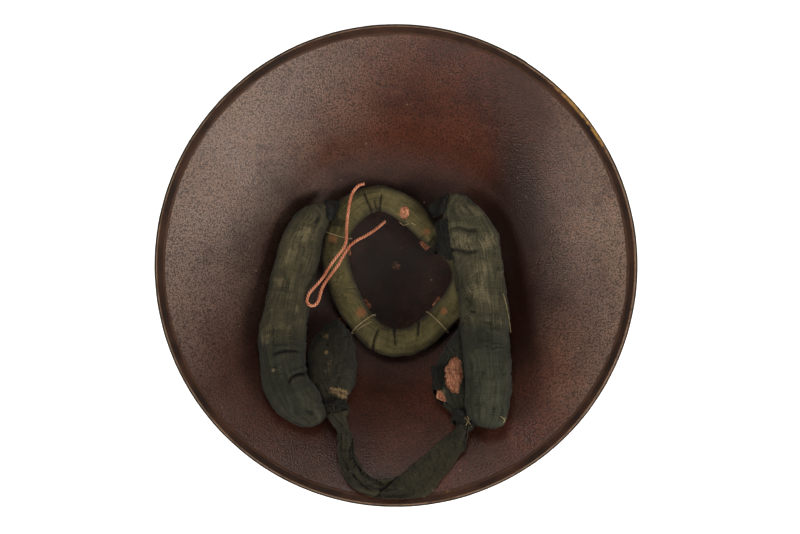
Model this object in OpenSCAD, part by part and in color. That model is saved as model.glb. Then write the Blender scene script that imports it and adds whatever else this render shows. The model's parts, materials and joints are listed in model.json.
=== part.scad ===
// Jingasa, a lacquered Japanese war and travel hat, lying on its crown with the inside up.
// The origin is under the middle of the crown fitting, +Z is up and +Y is away from the chin ribbon.

/* [Bowl] */
// Radius of the rim, over the binding
rim_r = 200; // [192:1:208]
// Radius of the outside of the round crown
crown_r = 150; // [146:1:156]
// Slope where the crown turns into the brim, in degrees
turn_slope = 48; // [46:0.5:50]
// Slope of the brim at the rim, in degrees
rim_slope = 22; // [19:0.5:25]
// Thickness of the rawhide shell
shell_t = 2.4; // [1.8:0.1:3]
// Thickness of the grained lining
lining_t = 0.8; // [0.6:0.1:1.2]
// Thickness of the rim binding
bind_t = 0.9; // [0.6:0.1:1.2]
// How far the rim binding laps over the wall
bind_lap = 6; // [4:0.5:8]

/* [Crown fitting] */
// Radius of the fitting's flat face
plate_r = 24; // [18:1:28]
// Thickness of the fitting at its middle
plate_t = 1.6; // [1.2:0.1:2.4]
// Radius of the pin through the crown
pin_r = 1.6; // [1.2:0.1:2]
// Radius of the pin's clinched end inside
pin_end_r = 4; // [3:0.5:5]
// Height of the pin's clinched end
pin_end_t = 1.2; // [0.8:0.1:1.6]

/* [Leather tabs] */
// Width of a tab
tab_w = 9; // [7:0.5:11]
// Thickness of a tab
tab_t = 1.2; // [0.8:0.1:1.6]
// Length of a tab
tab_l = 40; // [36:1:44]
// Radius of a rivet's shank
rivet_r = 1.2; // [1:0.1:1.5]
// Radius of a rivet's outer head
rivet_head_r = 3.2; // [2.6:0.1:3.8]
// Height of a rivet's outer head
rivet_head_t = 1.2; // [0.8:0.1:1.6]

/* [Head ring] */
// Radius of the padded tube of the ring
ring_tube_r = 13; // [12:0.25:13.5]
// Thickness of the cloth covers, with their seams
cover_t = 1.5; // [1.2:0.1:1.8]

/* [Pads] */
// Half the width of a long pad
long_half_w = 20; // [18:0.5:20.5]
// Half the height of a long pad
long_half_h = 18; // [16:0.5:18.5]
// Half the width of the left short pad
short_half_w = 18.5; // [17:0.5:19]
// Half the width of the right short pad
torn_half_w = 13; // [12:0.5:13.5]
// Half the height of a short pad
short_half_h = 14; // [13:0.5:14.5]
// Radius of a short pad's root, which turns on the ring's lower corner
root_r = 6.5; // [5.5:0.25:7]
// Half the width of the neck at a tie
neck_half_w = 11; // [9:0.5:12]
// Half the height of the neck at a tie, and how far the ribbon's end stands from its hinge line
neck_half_h = 8; // [7:0.25:8.5]

/* [Ties and ribbon] */
// Thickness of the lashing cord
lash_d = 1.8; // [1.4:0.1:2.2]
// Turns of each lashing
lash_turns = 3; // [2:1:4]
// Thickness of the pale thread
thread_d = 1; // [0.7:0.1:1.2]
// Width of the ribbon where it lies flat
ribbon_w = 27; // [24:1:28]
// Width of the ribbon where it is crumpled
crumpled_w = 13; // [11:1:14]
// Thickness of the ribbon
ribbon_t = 1.2; // [1:0.1:1.6]
// Height of the crumpled ribbon's folds
fold_h = 2.2; // [1:0.1:2.6]
// Thickness of the twisted cord
cord_d = 2.8; // [2.6:0.1:2.9]

/* [Fit] */
// Gap between a piece and what it lies against
gap = 0.3; // [0.2:0.05:0.4]

/* [Hidden] */
$fn = 96;
wall_t = shell_t + lining_t;
bead_r = wall_t / 2 + bind_t;
wall_r = rim_r - bead_r + wall_t / 2 * sin(rim_slope);
crown_z = plate_t + crown_r;
brim_r = (wall_r - crown_r * sin(turn_slope)) / (sin(turn_slope) - sin(rim_slope));
brim_x = (crown_r + brim_r) * sin(turn_slope);
brim_z = crown_z - (crown_r + brim_r) * cos(turn_slope);
crown_steps = 14;
brim_steps = 12;
lap_steps = 3;
lap_slope = rim_slope + bind_lap / brim_r * 180 / PI;
pad_sides = 12;
row_steps = 2;
rest_h = tab_t + gap;

// Places on the bowl's plan, seen from above with the ribbon towards -Y; the third value is a width factor
ring_rows = [
  [41.6, 17.8, 0.8], [45, 13, 0.81], [52, 3, 0.97], [57.5, -13, 1], [52.5, -30.3, 0.99],
  [43.5, -41, 1], [36, -49.5, 0.94],
  [21, -62, 1], [-1, -68, 1], [-19, -60.5, 1], [-28.5, -51, 0.94], [-40, -35, 1], [-49, -13, 0.94],
  [-54, 9, 1], [-51.5, 27.5, 0.94], [-45, 41, 1], [-32, 53.5, 0.96], [-12, 59, 0.92], [12, 47, 0.94],
  [28, 32, 0.97], [37, 22.8, 0.81], [40.6, 19, 0.8]
];
tie_rows = [6, 10, 14];
root_left = [-52, -51];
root_right = [60, -51];
tie_left = [-51, -127];
tie_right = [59, -133];
neck_left = [-52, -113.5];
neck_right = [56.5, -120];
tie_h = 12;

// Rows of the pads: plan place, height over the lining, factors of width, height and depth, roll in degrees
long_left = [
  [-70, 42, 15.5, 0.72, 0.72, 0.72, 0], [-80, 25, 18, 0.93, 0.95, 0.93, 0], [-87, -4, 18.4, 1, 1, 1, 0],
  [-92.5, -34, 18.4, 1.03, 1, 1, 0], [-95.5, -62, 18.4, 1.04, 1, 1, 0], [-94, -92, 18.4, 1, 1, 1, 0],
  [-87, -111, 18, 0.92, 0.95, 0.95, 0], [-75, -121.5, 15, 0.72, 0.72, 0.75, 0]
];
long_right = [
  [51.5, 52.5, 22, 0.66, 0.6, 0.6, -10], [63, 34, 24, 1, 0.9, 0.7, -18], [71.3, 4, 27, 1.16, 0.95, 0.62, -22],
  [74.5, -26, 27, 1.16, 0.95, 0.62, -22], [76, -52, 27, 1.1, 0.95, 0.62, -24],
  [76.6, -82, 27, 1.04, 0.95, 0.62, -26], [77.2, -105, 26, 1, 0.92, 0.62, -22],
  [76.5, -122.5, 23.4, 0.76, 0.8, 0.58, -10]
];
seam_row = 4;
short_left_body = [
  [-52.5, -58, 11.5, 0.68, 0.78, 0.72, 0], [-52, -70, 14.3, 1, 0.98, 0.98, 0],
  [-52.2, -92, 14.4, 1.06, 1, 1, 0], [-52.2, -105, 13.5, 0.86, 0.8, 0.8, 0]
];
short_right_body = [
  [59.5, -58, 10, 0.6, 0.55, 0.62, 0], [54, -72, 13.2, 0.98, 0.8, 0.9, 0],
  [46.2, -93, 14.3, 1.16, 0.92, 0.98, 0], [47.8, -108, 13.5, 1.04, 0.78, 0.8, 0]
];

// Rows of the chin ribbon: plan place, height over the lining, half width and height of the folds
ribbon_rows = [
  [-44, -136.2, 9.3, crumpled_w * 0.46, 1.5], [-42, -147, 6.2, crumpled_w * 0.45, fold_h],
  [-41, -158.4, 4.4, crumpled_w * 0.46, fold_h], [-36.7, -170.3, 3.8, crumpled_w / 2, fold_h],
  [-31.1, -178.3, 3.4, crumpled_w * 0.56, fold_h * 0.8], [-21.1, -183.6, 3, crumpled_w * 0.6, fold_h * 0.6],
  [-9.7, -184.6, 2.6, crumpled_w * 0.58, 0.8], [6.3, -183, 2, ribbon_w * 0.36, 0.3],
  [18.8, -178.5, 1.8, ribbon_w * 0.47, 0], [30.3, -168.5, 2, ribbon_w * 0.46, 0],
  [40.5, -157.4, 3.5, ribbon_w * 0.41, 0], [48.6, -148.6, 7, ribbon_w * 0.35, 0.3],
  [52.4, -141.8, 9.6, ribbon_w * 0.24, 0.7]
];

// Route of the twisted cord: out over the ring's top, down to its loop's end and back inside the ring
cord_route = [
  [-28, 71, 42], [-33, 69, 46.8], [-38.5, 61, 49.4], [-41.5, 46, 49.2], [-42.8, 33, 48.8], [-43, 24, 49],
  [-44.7, 16.6, 50.4], [-49.6, 9.7, 53.8], [-54.5, 3.3, 57.6], [-58.6, -3.1, 61.8], [-62.2, -9.6, 66],
  [-66.9, -15.4, 70.2], [-71, -20, 73.6], [-73.8, -23.6, 75.8], [-75.2, -27.1, 77.4], [-75.5, -30.6, 78.3],
  [-73.5, -33.4, 78.3], [-70.1, -33.9, 77], [-67.2, -31.8, 75.2], [-65.6, -28.2, 73.2], [-64.5, -23.6, 71],
  [-62.6, -18, 68.6], [-58.9, -11.8, 65], [-54.2, -5.4, 60.4], [-50, 0.6, 56.4], [-45.9, 8, 52.6],
  [-42.6, 13.6, 49.8], [-39.6, 17.6, 47.8], [-34.6, 21.6, 45.4], [-27.6, 25.4, 42], [-20, 30.2, 36.8],
  [-13.6, 35.6, 28.4], [-10, 39, 20]
];

// Tabs: the ring's place over each one and its direction on the plan, in degrees
tab_spots = [[-54, 12, 180], [34, 26.5, 41], [-36.5, -40, 217], [45, -39, -39]];
rivet_out = 10;
in_r = crown_r - wall_t;
foot = in_r / (in_r - ring_tube_r - rest_h);
rivet_end_t = 0.9;
flat_rise = 0.15;
cut_over = 1;
function rivet_spot(c) =
  ([c[0], c[1]] * foot + [cos(c[2]), sin(c[2])] * rivet_out) * crown_r / in_r;

// The straps turn on a line across the bowl through the roots of the short pads
neck_f = neck_half_h / short_half_h;
hinge_z = bowl_z(norm(root_right), wall_t + rest_h + root_r);
left_short = short_rows(root_left, short_left_body, neck_left, tie_left, short_half_w);
right_short = short_rows(root_right, short_right_body, neck_right, tie_right, torn_half_w);
root_reach = 7;
end_reach = 12;
lash_steps = 16;
lash_gap = 0.5;
lash_clear = 1;

// Vectors and curves
function unit(v) = v / norm(v);
function rev(v) = [for (i = [len(v) - 1:-1:0]) v[i]];
function curve(a, b, c, d, t) =
  (2 * b + (c - a) * t + (2 * a - 5 * b + 4 * c - d) * t * t + (3 * b - a - 3 * c + d) * t * t * t) / 2;
function spline(v) = concat(
  [for (i = [0:len(v) - 2]) for (j = [0:row_steps - 1])
    curve(v[max(i - 1, 0)], v[i], v[i + 1], v[min(i + 2, len(v) - 1)], j / row_steps)],
  [v[len(v) - 1]]
);

// The bowl's outline in section, t deep from its outer face, and places at a height over its lining
function crown_point(g, t) = [(crown_r - t) * sin(g), crown_z - (crown_r - t) * cos(g)];
function brim_point(g, t) = [brim_x - (brim_r + t) * sin(g), brim_z + (brim_r + t) * cos(g)];
function bowl_line(t) = concat(
  [for (i = [0:crown_steps]) crown_point(turn_slope * i / crown_steps, t)],
  [for (i = [1:brim_steps]) brim_point(turn_slope + (lap_slope - turn_slope) * i / brim_steps, t)],
  [for (i = [1:lap_steps]) lap_point(i, t)]
);
function lap_point(i, t) = brim_point(lap_slope + (rim_slope - lap_slope) * i / lap_steps, t);
function bowl_z(r, t) = r <= (crown_r - t) * sin(turn_slope)
  ? crown_z - sqrt(pow(crown_r - t, 2) - r * r)
  : brim_z + sqrt(pow(brim_r + t, 2) - pow(brim_x - r, 2));
function on_bowl(p, h) = [p[0], p[1], bowl_z(norm([p[0], p[1]]), wall_t + h)];
function bowl_normal(p) =
  let (r = norm([p[0], p[1]]), c = norm([r, crown_z - p[2]]), crown = r <= c * sin(turn_slope))
  let (a = crown ? -r : r - brim_x, b = crown ? crown_z - p[2] : p[2] - brim_z)
  unit([a * p[0] / r, a * p[1] / r, b]);

// A station is a place, the ways ahead, aside and up, and the half width and the heights up and down
function stations(places, normals, sizes, rolls) = [
  for (i = [0:len(places) - 1])
    let (t = unit(places[min(i + 1, len(places) - 1)] - places[max(i - 1, 0)]))
    let (n0 = unit(normals[i] - t * (normals[i] * t)), s0 = cross(t, n0), a = rolls[i])
    concat([places[i], t, s0 * cos(a) - n0 * sin(a), n0 * cos(a) + s0 * sin(a)], sizes[i])
];
function round_size(r) = [r, r, r];
function dome(s, reach, side, angles) = [
  for (a = angles)
    [s[0] + s[1] * side * reach * sin(a), s[1], s[2], s[3], s[4] * cos(a), s[5] * cos(a), s[6] * cos(a)]
];
function start_dome(s, reach) = dome(s, reach, -1, [82, 60, 40, 20]);
function end_dome(s, reach) = dome(s, reach, 1, [20, 40, 60, 82]);
function mouth(s, reach) = dome(s, reach, 1, [20, 40, 60]);
function section(s, m) = [
  for (j = [0:m - 1]) let (u = 360 * j / m)
    s[0] + s[2] * s[4] * cos(u) + s[3] * (sin(u) > 0 ? s[5] : s[6]) * sin(u)
];

// Skin over rings of m points each, closed by caps or joined end to end
module skin(rings, joined = false) {
  m = len(rings[0]);
  n = len(rings);
  last = joined ? n - 1 : n - 2;
  walls = [
    for (i = [0:last]) for (j = [0:m - 1])
      let (a = i * m + j, b = i * m + (j + 1) % m)
      let (c = (i + 1) % n * m + (j + 1) % m, d = (i + 1) % n * m + j)
      each [[a, b, c], [a, c, d]]
  ];
  caps = joined ? [] : [
    for (j = [1:m - 2]) each [[0, j + 1, j], [(n - 1) * m, (n - 1) * m + j, (n - 1) * m + j + 1]]
  ];
  polyhedron([for (r = rings) each r], concat(walls, caps), convexity = 8);
}
module tube(st, m = pad_sides, joined = false) {
  skin([for (s = st) section(s, m)], joined);
}

// The bowl, its binding and the holes through it
module wall_layer(t0, t1) {
  rotate_extrude() polygon(concat(bowl_line(t0), rev(bowl_line(t1))));
}
module at_bowl(p) {
  translate([0, 0, crown_z]) rotate([0, -asin(norm(p) / crown_r), atan2(p[1], p[0])])
    translate([0, 0, -crown_r]) children();
}
module hole(r, deep) {
  translate([0, 0, -cut_over]) cylinder(r = r, h = deep + 2 * cut_over);
}
module wall_holes() {
  hole(pin_r, plate_t + wall_t);
  for (c = tab_spots) at_bowl(rivet_spot(c)) hole(rivet_r, wall_t + tab_t);
}
module outer_shell() {
  color("#1c1512") difference() {
    wall_layer(0, shell_t);
    wall_holes();
  }
}
module inner_lining() {
  color("#4a2a20") difference() {
    wall_layer(shell_t, wall_t);
    wall_holes();
  }
}
module rim_binding() {
  n = [-sin(rim_slope), cos(rim_slope)];
  t = [cos(rim_slope), sin(rim_slope)];
  end = brim_point(rim_slope, wall_t / 2);
  color("#241a14") rotate_extrude() polygon(concat(
    [for (i = [0:lap_steps]) lap_point(i, -bind_t)],
    [for (a = [15:15:165]) end + bead_r * (t * sin(a) - n * cos(a))],
    [for (i = [lap_steps:-1:0]) lap_point(i, wall_t + bind_t)],
    [for (i = [0:lap_steps]) lap_point(i, wall_t)],
    [for (i = [lap_steps:-1:0]) lap_point(i, 0)]
  ));
}

// The crown's fitting outside and the pin that holds it
module crown_plate() {
  edge_t = plate_t + crown_r - sqrt(pow(crown_r, 2) - pow(plate_r, 2));
  color("#6b5a36") difference() {
    cylinder(r = plate_r, h = edge_t);
    rotate_extrude() polygon(concat([[0, crown_z]], bowl_line(0)));
    hole(pin_r, plate_t);
  }
}
module crown_pin() {
  color("#2a211b") {
    cylinder(r = pin_r, h = plate_t + wall_t + pin_end_t);
    translate([0, 0, plate_t + wall_t + flat_rise])
      cylinder(r1 = pin_end_r, r2 = pin_end_r - pin_end_t, h = pin_end_t);
  }
}

// Leather tabs under the ring, each held by a rivet through the wall
module tab(c) {
  color("#8a5636") difference() {
    intersection() {
      wall_layer(wall_t, wall_t + tab_t);
      translate([c[0] * foot, c[1] * foot, 0]) rotate(c[2])
        translate([-tab_l / 2, -tab_w / 2, 0]) cube([tab_l, tab_w, crown_z]);
    }
    at_bowl(rivet_spot(c)) hole(rivet_r, wall_t + tab_t);
  }
}
module tab_rivets() {
  color("#3a2f25") for (c = tab_spots) at_bowl(rivet_spot(c)) {
    translate([0, 0, -rivet_head_t])
      cylinder(r1 = rivet_head_r - rivet_head_t, r2 = rivet_head_r, h = rivet_head_t);
    cylinder(r = rivet_r, h = wall_t + tab_t + flat_rise + rivet_end_t);
    translate([0, 0, wall_t + tab_t + flat_rise]) cylinder(r = rivet_r + rivet_end_t, h = rivet_end_t);
  }
}

// The head ring: a cloth tube bent round and lashed where its ends meet, and its filling
function ring_stations(less) =
  let (v = spline(ring_rows), p = [for (r = v) on_bowl(r, ring_tube_r + rest_h)])
  let (sizes = [for (r = v) round_size(ring_tube_r * r[2] - less)])
  stations(p, [for (q = p) bowl_normal(q)], sizes, [for (r = v) 0]);
module ring_cover() {
  color("#5f5537") tube(concat(ring_stations(0), rev(ring_stations(cover_t))), joined = true);
}
module ring_stuffing() {
  color("#a07154") tube(ring_stations(cover_t + 2 * gap));
}
module thread_ties() {
  st = ring_stations(0);
  color("#c2b083") for (i = tie_rows) let (s = st[i * row_steps]) multmatrix(frame_of(s))
    rotate_extrude() translate([s[4] + gap + thread_d / 2, 0]) circle(d = thread_d, $fn = 24);
}
function frame_of(s) = [for (k = [0:2]) [s[2][k], s[3][k], -s[1][k], s[0][k]]];

// A cord wound round a station, a turn beside the last one
function winding(s, d) =
  let (n = lash_steps * lash_turns, pitch = d + lash_gap)
  let (a = s[4] + lash_clear + d / 2, b = s[5] + lash_clear + d / 2)
  let (out = [for (i = [0:n]) let (u = 360 * i / lash_steps) s[2] * cos(u) * b + s[3] * sin(u) * a])
  let (p = [for (i = [0:n]) let (u = 360 * i / lash_steps)
    s[0] + s[2] * a * cos(u) + s[3] * b * sin(u) + s[1] * pitch * (i / lash_steps - lash_turns / 2)])
  stations(p, out, [for (q = p) round_size(d / 2)], [for (q = p) 0]);
module lashing(s) {
  color("#1d1c18") tube(winding(s, lash_d), 6);
}
module corner_lashing() {
  st = ring_stations(0);
  lashing([for (i = [0:6]) i == 0 ? (st[0][0] + st[len(st) - 1][0]) / 2 : st[0][i]]);
}

// The long pads: each has an upper and a lower section, sewn together at the seam
function pad_stations(rows, half_w, half_h, less) =
  let (v = spline(rows), p = [for (r = v) on_bowl(r, r[2])])
  let (sizes = [for (r = v) [half_w * r[3], half_h * r[4], half_h * r[5]] - [less, less, less]])
  stations(p, [for (q = p) bowl_normal(q)], sizes, [for (r = v) r[6]]);
function long_stations(rows, less) = pad_stations(rows, long_half_w, long_half_h, less);
function moved(s, by) = [s[0] + s[1] * by, s[1], s[2], s[3], s[4], s[5], s[6]];
function upper_stations(rows, less) =
  let (st = long_stations(rows, less), n = seam_row * row_steps)
  concat(start_dome(st[0], root_reach - less), [for (i = [0:n - 1]) st[i]], [moved(st[n], -gap / 2)]);
function lower_stations(rows, less) =
  let (st = long_stations(rows, less), n = seam_row * row_steps, last = len(st) - 1)
  concat([moved(st[n], gap / 2)], [for (i = [n + 1:last]) st[i]], end_dome(st[last], end_reach - less));
module long_upper(rows, tint) {
  color(tint) tube(concat(upper_stations(rows, 0), rev(upper_stations(rows, cover_t))));
}
module long_lower(rows, tint) {
  color(tint) tube(concat(rev(lower_stations(rows, cover_t)), lower_stations(rows, 0)));
}
module long_upper_stuffing(rows) {
  color("#a07154") tube(upper_stations(rows, cover_t + 2 * gap));
}
module long_lower_stuffing(rows) {
  color("#a07154") tube(lower_stations(rows, cover_t + 2 * gap));
}

// The short pads: a root that turns on the ring's lower corner, a body and a neck that ends at the tie
function short_rows(root, body, neck, tie, half_w) = concat(
  [[root[0], root[1], root_h(root), root_r / half_w, root_r / short_half_h, root_r / short_half_h, 0]], body,
  [for (p = [neck, tie]) [p[0], p[1], tie_h, neck_half_w / half_w, neck_f, neck_f, 0]]
);
function root_h(root) = crown_r - wall_t - norm([norm(root), crown_z - hinge_z]);
function short_stations(rows, half_w, less) =
  let (st = pad_stations(rows, half_w, short_half_h, less))
  concat(start_dome(st[0], root_r - less), st, mouth(st[len(st) - 1], neck_half_h - less));
module short_pad(rows, half_w, tint) {
  color(tint) tube(concat(short_stations(rows, half_w, 0), rev(short_stations(rows, half_w, cover_t))));
}
module short_stuffing(rows, half_w) {
  color("#a07154") tube(short_stations(rows, half_w, cover_t + 2 * gap));
}
function neck_station(rows, half_w) =
  let (st = pad_stations(rows, half_w, short_half_h, 0)) st[len(st) - 2];

// The chin ribbon, crumpled on the left and flat on the right
function ribbon_section(s, w, fold) = concat(
  [for (j = [0:7]) let (a = 1 - 2 * j / 7) s[0] + s[2] * a * w + s[3] * (fold * cos(270 * a) + ribbon_t / 2)],
  [for (j = [0:7]) let (a = 2 * j / 7 - 1) s[0] + s[2] * a * w + s[3] * (fold * cos(270 * a) - ribbon_t / 2)]
);
module chin_ribbon() {
  v = spline(ribbon_rows);
  p = [for (r = v) on_bowl(r, r[2])];
  st = stations(p, [for (q = p) bowl_normal(q)], [for (r = v) round_size(0)], [for (r = v) 0]);
  color("#35342a") skin([for (i = [0:len(v) - 1]) ribbon_section(st[i], v[i][3], v[i][4])]);
}

// The twisted cord that hangs over the ring
module hanging_cord() {
  v = spline(cord_route);
  st = stations(v, [for (q = v) [0.3, 0.5, 1]], [for (q = v) round_size(cord_d / 2)], [for (q = v) 0]);
  color("#b0663f") tube(st, 8);
}

outer_shell();
inner_lining();
rim_binding();
crown_plate();
crown_pin();
tab(tab_spots[0]);  // tab_upper_left
tab(tab_spots[1]);  // tab_upper_right
tab(tab_spots[2]);  // tab_lower_left
tab(tab_spots[3]);  // tab_lower_right
tab_rivets();
ring_cover();
ring_stuffing();
thread_ties();
corner_lashing();
long_upper(long_left, "#4a4a3a");  // left_long_pad_upper
long_lower(long_left, "#32352c");  // left_long_pad_lower
long_upper(long_right, "#45463a");  // right_long_pad_upper
long_lower(long_right, "#343a33");  // right_long_pad_lower
long_upper_stuffing(long_left);  // left_long_stuffing_upper
long_lower_stuffing(long_left);  // left_long_stuffing_lower
long_upper_stuffing(long_right);  // right_long_stuffing_upper
long_lower_stuffing(long_right);  // right_long_stuffing_lower
short_pad(left_short, short_half_w, "#2b2c24");  // left_short_pad
short_pad(right_short, torn_half_w, "#30342c");  // right_short_pad
short_stuffing(left_short, short_half_w);  // left_short_stuffing
short_stuffing(right_short, torn_half_w);  // right_short_stuffing
lashing(neck_station(left_short, short_half_w));  // left_tie_lashing
lashing(neck_station(right_short, torn_half_w));  // right_tie_lashing
chin_ribbon();
hanging_cord();
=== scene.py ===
# %% [markdown]
# # A jingasa, seen from above with its inside up
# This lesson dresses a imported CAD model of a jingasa, a lacquered Japanese war and travel hat. The hat lies
# on its crown, so the camera looks into it: a wide lacquered bowl, a padded head ring, four stuffed cloth
# pads, a folded chin ribbon and a twisted cord.
#
# The CAD model is the frame. It gives every size and place, and the pieces made here only give it its looks.
# All lengths are in metres, +Z is up and -Y points at the chin ribbon.

# %% The frame
import json
import math

import bmesh
import bpy
import numpy as np
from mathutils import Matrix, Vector

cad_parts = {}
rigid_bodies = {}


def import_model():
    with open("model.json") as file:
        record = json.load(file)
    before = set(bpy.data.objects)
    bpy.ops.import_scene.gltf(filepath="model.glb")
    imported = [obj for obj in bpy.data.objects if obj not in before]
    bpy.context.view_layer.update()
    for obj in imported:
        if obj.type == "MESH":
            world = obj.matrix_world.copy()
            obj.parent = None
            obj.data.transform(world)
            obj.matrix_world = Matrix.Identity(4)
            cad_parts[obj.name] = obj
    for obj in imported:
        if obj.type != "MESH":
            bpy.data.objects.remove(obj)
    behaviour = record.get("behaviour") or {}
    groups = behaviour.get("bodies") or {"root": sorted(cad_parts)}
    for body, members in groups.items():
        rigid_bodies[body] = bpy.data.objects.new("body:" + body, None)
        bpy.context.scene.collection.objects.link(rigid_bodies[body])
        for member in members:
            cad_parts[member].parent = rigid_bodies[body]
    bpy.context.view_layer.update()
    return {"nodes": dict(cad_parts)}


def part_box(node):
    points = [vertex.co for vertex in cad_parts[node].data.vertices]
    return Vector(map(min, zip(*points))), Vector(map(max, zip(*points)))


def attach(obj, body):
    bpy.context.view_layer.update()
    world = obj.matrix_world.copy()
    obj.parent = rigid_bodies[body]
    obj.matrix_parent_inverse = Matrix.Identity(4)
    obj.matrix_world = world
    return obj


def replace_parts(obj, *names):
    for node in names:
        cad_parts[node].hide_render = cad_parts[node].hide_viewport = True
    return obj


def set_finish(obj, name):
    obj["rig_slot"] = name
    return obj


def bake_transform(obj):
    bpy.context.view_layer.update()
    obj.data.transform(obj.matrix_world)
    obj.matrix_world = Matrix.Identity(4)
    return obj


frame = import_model()
nodes = frame["nodes"]
scene = bpy.context.scene
MM = 0.001

# %% [markdown]
# ## The camera
# The photograph looks straight down into the bowl. A camera that isn't turned looks along -Z with +Y up, so
# only its height and its lens are to be found. The hat is 400 mm across and spans 484 px, and what lies deeper
# in the bowl looks about 5% smaller than at the rim, which puts the camera about 1.4 m above it.
#
# The same numbers turn a place in the photograph into a place on the object, once its height is known. All
# marks of wear below are placed that way, as a few listed spots.

# %% Camera
PHOTO_WIDTH = 800
PHOTO_MIDDLE = (400, 267)
HAT_MIDDLE = (396, 265.5)
PIXEL_AT_RIM = 0.826 * MM
CAMERA_ABOVE_RIM = 1.42
RIM_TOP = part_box("rim_binding")[1].z
camera_place = np.array([
    (PHOTO_MIDDLE[0] - HAT_MIDDLE[0]) * PIXEL_AT_RIM,
    (HAT_MIDDLE[1] - PHOTO_MIDDLE[1]) * PIXEL_AT_RIM,
    RIM_TOP + CAMERA_ABOVE_RIM,
])
camera_data = bpy.data.cameras.new("camera")
camera_data.lens = camera_data.sensor_width * CAMERA_ABOVE_RIM / (PHOTO_WIDTH * PIXEL_AT_RIM)
camera = bpy.data.objects.new("camera", camera_data)
camera.location = camera_place
scene.collection.objects.link(camera)
scene.camera = camera
scene.view_settings.view_transform = "Standard"


def from_photo(pixels, height):
    """Places on the plan of pixels of the photograph, for things at a height: the ray through a pixel spreads
    with its depth under the camera."""
    pixels = np.asarray(pixels, float)
    scale = PIXEL_AT_RIM * (camera_place[2] - height) / CAMERA_ABOVE_RIM
    x = camera_place[0] + (pixels[..., 0] - PHOTO_MIDDLE[0]) * scale
    y = camera_place[1] - (pixels[..., 1] - PHOTO_MIDDLE[1]) * scale
    return np.stack([x, y], -1)


print("lens", round(camera_data.lens, 1), "mm")

# %% [markdown]
# ## Curves and skins
# Almost everything here is a grid of points that a formula places: one number runs along the piece and one
# runs round it. `grid_faces` joins such a grid with four-cornered faces, and `new_piece` makes the object.

# %% Grids, curves and skins
def unit(v):
    """Vectors of length one along the last axis."""
    return v / np.maximum(np.linalg.norm(v, axis=-1, keepdims=True), 1e-12)


def smoothed(points, steps):
    """A Catmull-Rom curve: between two points each coordinate is a cubic whose slope at a point is half the
    way between its neighbours. steps is how many new points one stretch gets."""
    p = np.asarray(points, float)
    a = np.vstack([p[:1], p[:-1]])[:-1]
    b, c = p[:-1], p[1:]
    d = np.vstack([p[2:], p[-1:]])
    t = (np.arange(steps) / steps)[None, :, None]
    a, b, c, d = (q[:, None, :] for q in (a, b, c, d))
    cubic = 2 * b + (c - a) * t + (2 * a - 5 * b + 4 * c - d) * t ** 2 + (3 * b - a - 3 * c + d) * t ** 3
    return np.vstack([(cubic / 2).reshape(-1, p.shape[1]), p[-1:]])


def run_of(path):
    """The length along a path at each of its points."""
    return np.concatenate([[0], np.cumsum(np.linalg.norm(np.diff(path, axis=0), axis=1))])


def evenly(path, count):
    """The same path with its points a constant length apart."""
    run = run_of(path)
    at = np.linspace(0, run[-1], count)
    return np.stack([np.interp(at, run, path[:, k]) for k in range(path.shape[1])], -1)


def directions(path, up=(0, 0, 1)):
    """At each point of a path: the way ahead, the way aside, and the way up that is square to both."""
    ahead = unit(np.gradient(path, axis=0))
    aside = unit(np.cross(ahead, np.broadcast_to(up, path.shape)))
    return ahead, aside, np.cross(aside, ahead)


def grid_faces(rows, columns, wrap_rows=False, wrap_columns=True):
    """Four corners for each cell of a grid of points. A wrapped grid joins its last line to its first."""
    r = np.arange(rows if wrap_rows else rows - 1)[:, None]
    c = np.arange(columns if wrap_columns else columns - 1)[None, :]
    next_r, next_c = (r + 1) % rows, (c + 1) % columns
    corners = [r * columns + c, r * columns + next_c, next_r * columns + next_c, next_r * columns + c]
    return np.stack(corners, -1).reshape(-1, 4)


def new_piece(name, points, faces, smooth=True):
    """An object at the origin whose mesh has these points and faces."""
    mesh = bpy.data.meshes.new(name)
    mesh.from_pydata(np.asarray(points).reshape(-1, 3).tolist(), [], [list(f) for f in faces])
    mesh.update()
    if smooth:
        mesh.shade_smooth()
    piece = bpy.data.objects.new(name, mesh)
    scene.collection.objects.link(piece)
    return piece


def outwards(piece):
    """Turns the faces of closed skins to point out."""
    work = bmesh.new()
    work.from_mesh(piece.data)
    bmesh.ops.recalc_face_normals(work, faces=work.faces)
    work.to_mesh(piece.data)
    work.free()
    return piece


def points_in(mesh):
    """The points of a mesh as an array."""
    flat = np.empty(len(mesh.vertices) * 3, np.float32)
    mesh.vertices.foreach_get("co", flat)
    return flat.reshape(-1, 3).astype(float)


def normals_in(mesh):
    """The direction out of the surface at each point."""
    flat = np.empty(len(mesh.vertices) * 3, np.float32)
    mesh.vertices.foreach_get("normal", flat)
    return flat.reshape(-1, 3).astype(float)


def corners_in(mesh):
    """The number of the point at each corner of each face."""
    corners = np.empty(len(mesh.loops), np.int32)
    mesh.loops.foreach_get("vertex_index", corners)
    return corners


def area_in(mesh):
    """The area of a mesh's faces together."""
    areas = np.empty(len(mesh.polygons), np.float32)
    mesh.polygons.foreach_get("area", areas)
    return float(areas.astype(float).sum())


def set_points(piece, points):
    """Moves a mesh's points to new places."""
    piece.data.vertices.foreach_set("co", points.astype(np.float32).ravel())
    piece.data.update()


def set_map(piece, uv):
    """Stores where each corner of each face lies on the cloth, in metres."""
    piece.data.uv_layers.new(name="cloth").data.foreach_set("uv", uv.astype(np.float32).ravel())


def walled(piece, thickness, offset):
    """Gives a skin its thickness: inwards for an offset of -1, outwards for 1 and both ways for 0."""
    wall = piece.modifiers.new("wall", "SOLIDIFY")
    wall.thickness = thickness
    wall.offset = offset
    return piece


# %% Tubes and laid cords
TIP_AHEAD = 0.6
TIP_SHARE = 0.3
PLIES = 2
PLY_PLUMP = 1.05


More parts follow.
